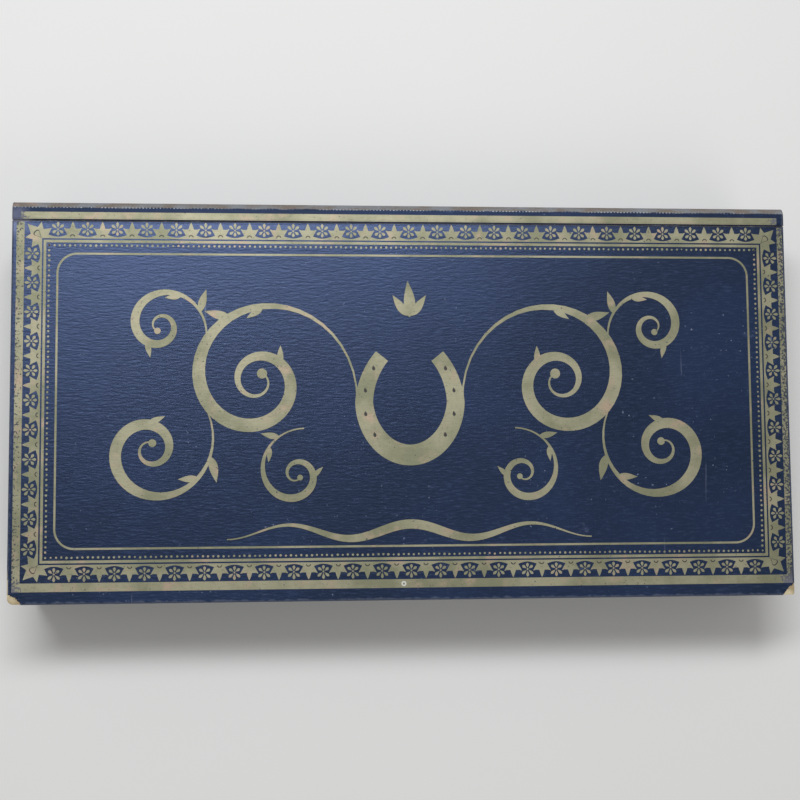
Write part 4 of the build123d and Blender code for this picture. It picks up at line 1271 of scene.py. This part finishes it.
post_low, post_high = box_mm("winning_post")
post_middle = float((post_low[0] + post_high[0]) / 2)
disc_radius = float((post_high[0] - post_low[0]) / 2)
disc_height = float(post_high[2]) - disc_radius
post = Finish("striped post", Roughness=0.35)
stripe = sine_of(post.axis("Z") * (math.pi / 5.0)) > 0.0
from_eye = length_of(post.axis("X") - post_middle, post.axis("Z") - disc_height)
rings = (from_eye > disc_radius - 2.0).most(from_eye < 2.2)
red, cream = chip(176, 36, 30), chip(232, 226, 208)
disc_tone = post.mix(rings, cream, red)
post_tone = post.mix(from_eye < disc_radius + 0.3, post.mix(stripe, red, cream), disc_tone)
paint(post.wear(Base_Color=post_tone), "winning_post")
print("course painted, lanes at", lane_lines)

# %% [markdown]
# The fences are blocks of green-dyed bristle. The solid gives the block, and a few hundred short
# tapering bristles on top of each break up its outline. Each bristle is a three-sided spike; all of
# them are worked out together, by adding the spike's four corners to every root.

# %% Bristles
fence_tops = {45.0: 5.0, 135.0: 5.0, 225.0: 5.0, 315.0: 3.2}  # the last is at the water
fence_reach = (29.6, 110.4)
fence_half = 1.75
per_fence = 420


def spikes(roots, leans, height, wide):
    """Three-sided spikes: corners on a small circle round each root, and a leaning tip."""
    ring = np.column_stack([on_circle(full_turn(3)), np.zeros(3)]) * wide
    base = roots[:, None, :] + ring[None]
    tips = roots + np.concatenate([leans, height[:, None]], axis=1)
    points = np.concatenate([base, tips[:, None, :]], axis=1)
    one = np.array([[0, 1, 3], [1, 2, 3], [2, 0, 3], [2, 1, 0]])
    faces = (one[None] + 4 * np.arange(len(roots))[:, None, None]).reshape(-1, 3)
    return points, faces


bristle_finish = Finish("dyed bristle", Roughness=0.85, Specular_IOR_Level=0.1)
bristle_dye = bristle_finish.noise(700.0, detail=3.0)
near_tip = bristle_finish.step(bristle_finish.axis("Z"), ground + 2.0, ground + 6.4)
dyed = bristle_finish.mix(bristle_dye, chip(24, 44, 20), chip(58, 84, 36))
dyed = bristle_finish.mix(near_tip * 0.5, dyed, chip(104, 118, 58))
bristle = bristle_finish.wear(Base_Color=dyed)
paint(bristle, "brush_fences")
parts = []
for degrees, top in fence_tops.items():
    reach = hand.uniform(*fence_reach, per_fence)
    side = hand.uniform(-fence_half, fence_half, per_fence)
    flat = turned(np.stack([reach, side], axis=1), math.radians(degrees))
    roots = np.column_stack([flat, ground + top - 0.28 * side**2])
    leans = hand.normal(0, 0.32, (per_fence, 2))
    parts.append(spikes(roots, leans, hand.uniform(0.8, 1.5, per_fence), 0.22))
points, faces = joined([(p.reshape(-1, 3), f) for p, f in parts])
make_piece("fence_bristles", points, faces, "case", bristle, smooth=False)
print("bristles", len(points) // 4)

# %% [markdown]
# ## Counters and the stake card
#
# Each row of bone counters has its own colour, chosen by which trough it lies in. The card beside
# them has four ruled boxes, a colour for each horse, and plain numerals made from pen strokes.

# %% Counters and card
row_dyes = (chip(176, 44, 40), chip(44, 74, 142), chip(216, 176, 62), chip(54, 118, 66))


def by_row(finish, first_x, pitch, dyes):
    """One colour for each of four rows, by the place along x."""
    row = (finish.axis("X") - first_x) / pitch
    colour = finish.mix(row > 1.0, dyes[0], dyes[1])
    for k in (2, 3):
        colour = finish.mix(row > float(k), colour, dyes[k])
    return colour


rack_low, rack_high = box_mm("counter_rack")
bone = Finish("dyed bone counters", Specular_IOR_Level=0.5)
bone_grain = bone.noise(220.0, stretch=(1, 0.3, 1), detail=4.0)
bone_dye = by_row(bone, float(rack_low[0]), float(rack_high[0] - rack_low[0]) / 4, row_dyes)
bone_tone = bone.mix(bone_grain * 0.35, bone_dye, chip(228, 214, 184))
paint(bone.wear(Base_Color=bone_tone, Roughness=0.3 + bone_grain * 0.15), "counters")

card_low, card_high = (corner.tolist() for corner in box_mm("stake_card"))
card_pitch = (card_high[0] - card_low[0]) / 4
card = Finish("stake card", Roughness=0.7, Specular_IOR_Level=0.3)
edge = from_sides(card, "stake_card")
in_row = (card.axis("X") - card_low[0]) / card_pitch
from_rule = (in_row - 1.0).size().least((in_row - 2.0).size()).least((in_row - 3.0).size())
rules = ((edge > 3.0) * (edge < 3.8)).most((from_rule < 0.014) * (edge > 3.0))
strip = (card.axis("Y") > card_high[1] - 22.0) * (edge > 3.8)
paper_tone = card.mix(card.noise(40.0, detail=5.0), chip(214, 200, 164), chip(232, 222, 192))
tone = card.mix(strip, paper_tone, by_row(card, card_low[0], card_pitch, row_dyes))
paint(card.wear(Base_Color=card.mix(rules, tone, chip(44, 40, 40))), "stake_card")

numeral_size = 1.25
numeral_pen = 1.7
numeral_paths = (  # of the numerals 1 to 4, about the middle of each
    [[(-1.2, 3.2), (0.2, 4.6), (0.2, -4.6)], [(-1.6, -4.6), (2.0, -4.6)]],
    [[(-2.4, 2.6), (-1.4, 4.4), (1.2, 4.5), (2.4, 2.6), (1.4, 0.2), (-2.6, -4.6), (2.8, -4.6)]],
    [[(-2.2, 4.6), (2.4, 4.6), (-0.2, 1.0), (2.2, -0.6), (2.4, -3.2), (0.2, -4.7), (-2.4, -3.8)]],
    [[(1.2, -4.8), (1.2, 4.8), (-2.8, -1.6), (2.8, -1.6)]],
)
strokes = []
for k, paths in enumerate(numeral_paths):
    middle = np.array([card_low[0] + card_pitch * (k + 0.5), card_high[1] - 34.0])
    for path in paths:
        path = np.array(path) * numeral_size + middle
        for ends in zip(path[:-1], path[1:]):
            strokes += stroke(np.array(ends), (numeral_pen, numeral_pen))
foil("card_numerals", strokes, body="case", height=card_high[2] + 0.07, finish=dark_ink)
print("card rows", round(card_pitch, 1), "mm wide")

# %% [markdown]
# ## Horses and riders
#
# Each runner is one lead casting of a horse at full gallop with a crouching jockey. A figure is
# built from limbs: a limb is a path of points with an oval section at each, closed by round ends.
# The limbs overlap, and a voxel remesh melts them into one skin. Colours are then painted on the
# skin: each point takes the colour of the limb that it lies least far outside of.

# %% Limbs of the casting


def limb_frames(stations, fill=5):
    """Points along a limb with their half sizes, and three directions at each of them."""
    stations = np.array(stations, float)
    at = np.linspace(0, len(stations) - 1, (len(stations) - 1) * fill + 1)
    rows = np.stack([np.interp(at, range(len(stations)), column) for column in stations.T], axis=1)
    path, half = rows[:, :3], rows[:, 3:]
    ahead = np.gradient(path, axis=0)
    ahead /= np.linalg.norm(ahead, axis=1, keepdims=True)
    aside = np.cross([0.0, 0.0, 1.0], ahead) + 1e-9
    aside /= np.linalg.norm(aside, axis=1, keepdims=True)
    return path, half, ahead, aside, np.cross(ahead, aside)


def oval_limb(stations, sides=14):
    """Ovals along a path with round ends; stations are (x, y, z, half width, half height)."""
    path, half, ahead, aside, upward = limb_frames(stations)
    oval = on_circle(full_turn(sides))[None] * half[:, None, :]
    skin = path[:, None, :] + aside[:, None] * oval[..., :1] + upward[:, None] * oval[..., 1:]
    cap = np.linspace(0.25, 0.97, 3) * np.pi / 2
    shrink, push = np.cos(cap)[:, None, None], np.sin(cap)[:, None, None]
    ends = []
    for row, sign in ((0, -1), (-1, 1)):
        end = path[row] + (skin[row] - path[row])[None] * shrink
        end = end + ahead[row] * push * half[row].min() * sign
        ends.append(end[::-1] if sign < 0 else end)
    tube = np.concatenate([ends[0], skin, ends[1]])
    count = len(tube)
    caps = [list(range(sides))[::-1], list(range((count - 1) * sides, count * sides))]
    return tube.reshape(-1, 3), list(grid_faces(count, sides, around=True)) + caps


def outside(points, stations):
    """How far each point lies outside the limb: its oval distance less one, times the size."""
    path, half, ahead, aside, upward = limb_frames(stations)
    offset = points[:, None, :] - path
    wide = (offset * aside).sum(axis=2) / half[:, 0]
    high = (offset * upward).sum(axis=2) / half[:, 1]
    long = (offset * ahead).sum(axis=2) / half.min(axis=1)
    return ((np.sqrt(wide**2 + high**2 + long**2) - 1) * half.mean(axis=1)).min(axis=1)


def gallop():
    """Limbs of horse and rider, facing +x, with the dye each one takes."""
    limbs = []

    def add(dye, *stations):
        limbs.append((dye, stations))

    trunk = [(-12.4, 0, 12.6, 1.2, 1.5), (-10.4, 0, 12.6, 2.5, 3.0), (-6.5, 0, 12.3, 2.8, 3.4)]
    trunk += [(-1, 0, 11.7, 2.6, 2.9), (4.5, 0, 11.9, 2.7, 3.4), (8.6, 0, 12.7, 2.2, 3.0)]
    add("coat", *trunk, (11.0, 0, 13.2, 1.3, 1.8))
    add("coat", (7.6, 0, 13.2, 1.7, 2.7), (10.8, 0, 15.8, 1.25, 2.0), (14.0, 0, 18.4, 0.95, 1.5))
    add("coat", (13.6, 0, 18.7, 1.05, 1.45), (16.4, 0, 17.5, 0.95, 1.2), (19.4, 0, 15.9, 0.7, 0.75))
    add("hair", (7.2, 0, 15.6, 0.4, 0.9), (10.0, 0, 17.9, 0.4, 0.9), (13.2, 0, 20.0, 0.35, 0.6))
    tail = [(-12.4, 0, 13.9, 0.6, 0.7), (-15.0, 0, 14.5, 0.8, 1.0), (-18.0, 0.3, 13.2, 0.7, 1.0)]
    add("hair", *tail, (-20.2, 0.5, 11.4, 0.3, 0.45))
    legs = (
        (1.5, [(7.4, 11.2), (10.6, 9.2), (13.6, 8.9), (16.6, 8.5), (18.4, 8.2)]),
        (-1.5, [(7.4, 11.2), (10.6, 8.4), (13.6, 6.8), (16.2, 5.6), (17.6, 4.8)]),
        (1.6, [(-9.2, 11.4), (-12.2, 8.2), (-14.0, 5.8), (-16.6, 4.4), (-17.9, 3.6)]),
        (-1.6, [(-9.2, 11.4), (-11.6, 7.6), (-12.9, 4.8), (-14.6, 2.6), (-15.5, 1.6)]),
    )
    girth = ((1.6, 2.1), (1.05, 1.25), (0.65, 0.75), (0.5, 0.55), (0.6, 0.6))
    for aside, joints in legs:
        spread = [aside, aside + math.copysign(0.1, aside), aside, aside, aside]
        rows = zip(joints, spread, girth)
        add("coat", *[(x, y, z, *around) for (x, z), y, around in rows])
        x, z = joints[-1]
        toe = x + math.copysign(0.9, x)
        add("hoof", (x, aside, z, 0.7, 0.7), (toe, aside, z - 0.35, 0.85, 0.6))
    add("saddle", (-2.6, 0, 14.7, 2.3, 0.8), (1.2, 0, 14.6, 2.5, 0.9), (3.6, 0, 14.8, 2.1, 0.7))
    add("breeches", (-2.4, 0, 17.0, 1.9, 1.8), (-0.6, 0, 16.7, 1.9, 1.7))
    add("silks", (-1.6, 0, 17.6, 1.8, 1.7), (1.4, 0, 19.3, 1.8, 1.8), (4.2, 0, 20.3, 1.9, 1.6))
    add("skin", (4.6, 0, 21.0, 0.8, 0.8), (6.6, 0, 22.0, 1.25, 1.35))
    add("cap", (5.6, 0, 22.9, 1.2, 0.9), (6.8, 0, 22.9, 1.35, 1.05))
    add("cap", (7.4, 0, 22.5, 0.9, 0.25), (9.0, 0, 22.2, 0.6, 0.2))
    for side in (-1, 1):
        add("coat", (13.5, 0.6 * side, 19.8, 0.32, 0.4), (13.3, 0.75 * side, 21.3, 0.1, 0.14))
        add("breeches", (-1.6, 1.4 * side, 16.2, 1.2, 1.2), (3.6, 2.9 * side, 13.9, 0.95, 1.0))
        add("boots", (3.6, 3.0 * side, 13.6, 0.85, 0.9), (1.0, 3.1 * side, 10.6, 0.65, 0.7))
        add("boots", (0.8, 3.1 * side, 10.2, 0.6, 0.6), (2.6, 3.2 * side, 9.9, 0.5, 0.45))
        elbow = (6.0, 2.0 * side, 17.9, 0.8, 0.8)
        add("silks", (4.0, 1.7 * side, 19.8, 1.0, 1.0), elbow, (9.0, 1.2 * side, 17.3, 0.55, 0.55))
        add("skin", (9.0, 1.2 * side, 17.3, 0.55, 0.5), (9.7, 1.0 * side, 17.3, 0.45, 0.45))
    return limbs


# %% [markdown]
# Enamel on such castings is glossy, and chips off the high points to show grey lead. The dye of
# each point is stored as a colour on the mesh, so one finish serves all four runners.

# %% Casting, remeshing and enamel
lead_enamel = Finish("enamelled lead", Specular_IOR_Level=0.5)
limb_dye = lead_enamel.node("ShaderNodeAttribute", {"attribute_name": "dye"})
flaked = lead_enamel.step(lead_enamel.noise(420.0, detail=4.0), 0.66, 0.70)
casting_enamel = lead_enamel.wear(
    Base_Color=lead_enamel.mix(flaked * 0.85, limb_dye, chip(138, 138, 138)),
    Roughness=0.28 + flaked * 0.25,
    Normal=lead_enamel.bumps(lead_enamel.noise(600.0, detail=3.0), 0.06),
)


def stable(coat, hair, silks, cap):
    """The dyes of one horse and its rider."""
    return dict(coat=chip(*coat), hair=chip(*hair), silks=chip(*silks), cap=chip(*cap))


tack = dict(
    hoof=chip(58, 48, 40),
    saddle=chip(72, 40, 24),
    breeches=chip(226, 222, 208),
    boots=chip(26, 24, 24),
    skin=chip(214, 168, 138),
)
own_dyes = (
    stable((104, 58, 32), (34, 26, 22), (178, 34, 32), (230, 224, 206)),
    stable((38, 34, 33), (20, 18, 18), (44, 76, 158), (44, 76, 158)),
    stable((146, 82, 42), (170, 118, 70), (220, 178, 52), (34, 34, 38)),
    stable((168, 168, 164), (92, 92, 92), (48, 122, 70), (178, 34, 32)),
)
horse_angles = (252.0, 290.0, 232.0, 270.0)
lane_pitch = 20.0
hoof_height = 32.0
voxel = 0.30

limbs = gallop()
points, faces = joined([oval_limb(stations) for _, stations in limbs])
pattern = make_piece("pattern", points, faces, None, None)
melt = pattern.modifiers.new("melt", "REMESH")
melt.mode = "VOXEL"
melt.voxel_size = voxel * MM
settle(pattern)
skin = np.zeros(len(pattern.data.vertices) * 3)
pattern.data.vertices.foreach_get("co", skin)
skin = skin.reshape(-1, 3) / MM
skin_faces = [list(p.vertices) for p in pattern.data.polygons]
bpy.data.objects.remove(pattern)
nearest = np.argmin([outside(skin, stations) for _, stations in limbs], axis=0)
print("casting", len(skin), "points,", len(skin_faces), "faces")

# %% The four runners
for number, (degrees, dyes) in enumerate(zip(horse_angles, own_dyes), start=1):
    in_lane = lane_pitch * (1 + number)
    flat = turned(skin[:, :2] + (0, -in_lane), math.radians(degrees + 90))
    runner = make_piece(
        f"runner_{number}",
        np.column_stack([flat, skin[:, 2] + hoof_height]),
        skin_faces,
        f"horse_{number}",
        casting_enamel,
        stands_for=[f"horse_and_rider_{number}"],
    )
    palette = np.array([{**tack, **dyes}[dye] for dye, _ in limbs])
    dye_layer = runner.data.color_attributes.new("dye", "FLOAT_COLOR", "POINT")
    dye_layer.data.foreach_set("color", palette[nearest].ravel())
print("runners stand at", horse_angles)

# %% [markdown]
# ## Camera, floor and light
#
# The photograph was taken from straight above the cover, a little off square, so all four edges
# converge slightly. The camera's place and turn come from matching the corners and the printed
# lines of the cover. The lens in pixels is turned into millimetres of focal length by the sensor.

# %% The camera
picture_pixels = 800
lens_pixels = 1366.5
tilt = dict(Z=0.096, Y=4.517, X=-4.702)  # degrees
camera_shift = np.array([5.13, 0.23, -888.7])

turn_z, turn_y, turn_x = (Matrix.Rotation(math.radians(d), 3, axis) for axis, d in tilt.items())
turn = np.array(turn_z @ turn_y @ turn_x)
place = -turn.T @ camera_shift + (0, 0, case_top)
camera_data = bpy.data.cameras.new("camera")
camera_data.lens = lens_pixels * camera_data.sensor_width / picture_pixels
camera_data.clip_start = 0.01
camera = bpy.data.objects.new("camera", camera_data)
camera.matrix_world = Matrix.Translation(place * MM) @ Matrix(turn.T.tolist()).to_4x4()
bpy.context.scene.collection.objects.link(camera)
bpy.context.scene.camera = camera
print("camera at", place.round(1), "lens", round(camera_data.lens, 2))

# %% [markdown]
# The floor is a large pale sheet. The light is a pale sky all round with two soft panels: a large
# one behind and to the left, whose reflection greys the upper left of the cover as in the
# photograph, and a weak one in front.

# %% Floor and light
sky_strength = 0.31
floor_half = 4000.0
cover_middle = Vector((0, 0, 0.05))
matt = dict(Roughness=0.9, Specular_IOR_Level=0.1)
floor_paper = mottled("studio floor", 3.0, chip(232, 231, 228), chip(236, 235, 233), **matt)
flat = rectangle(-floor_half, floor_half, -floor_half, floor_half)
corners = np.column_stack([flat, np.zeros(4)])
floor = make_piece("floor", corners, [[0, 1, 2, 3]], None, floor_paper, smooth=False)

world = bpy.data.worlds.new("studio")
bpy.context.scene.world = world
world.use_nodes = True
sky = world.node_tree.nodes["Background"].inputs
sky["Color"].default_value = (1.0, 1.0, 1.0, 1.0)
sky["Strength"].default_value = sky_strength


def soft_panel(name, at, wide, high, watts, colour):
    """An oblong lamp that looks at the middle of the cover."""
    data = bpy.data.lights.new(name, "AREA")
    data.shape = "RECTANGLE"
    data.size = wide
    data.size_y = high
    data.energy = watts
    data.color = colour
    lamp = bpy.data.objects.new(name, data)
    back = Vector(at) - cover_middle
    lamp.matrix_world = Matrix.Translation(at) @ back.to_track_quat("Z", "Y").to_matrix().to_4x4()
    bpy.context.scene.collection.objects.link(lamp)


soft_panel("back_left_panel", (-0.20, 0.68, 1.5), 1.0, 0.3, 18.0, (0.95, 0.97, 1.0))
soft_panel("front_panel", (0.9, -1.3, 1.7), 1.2, 1.2, 5.0, (1.0, 0.98, 0.95))
bpy.context.scene.view_settings.view_transform = "Standard"
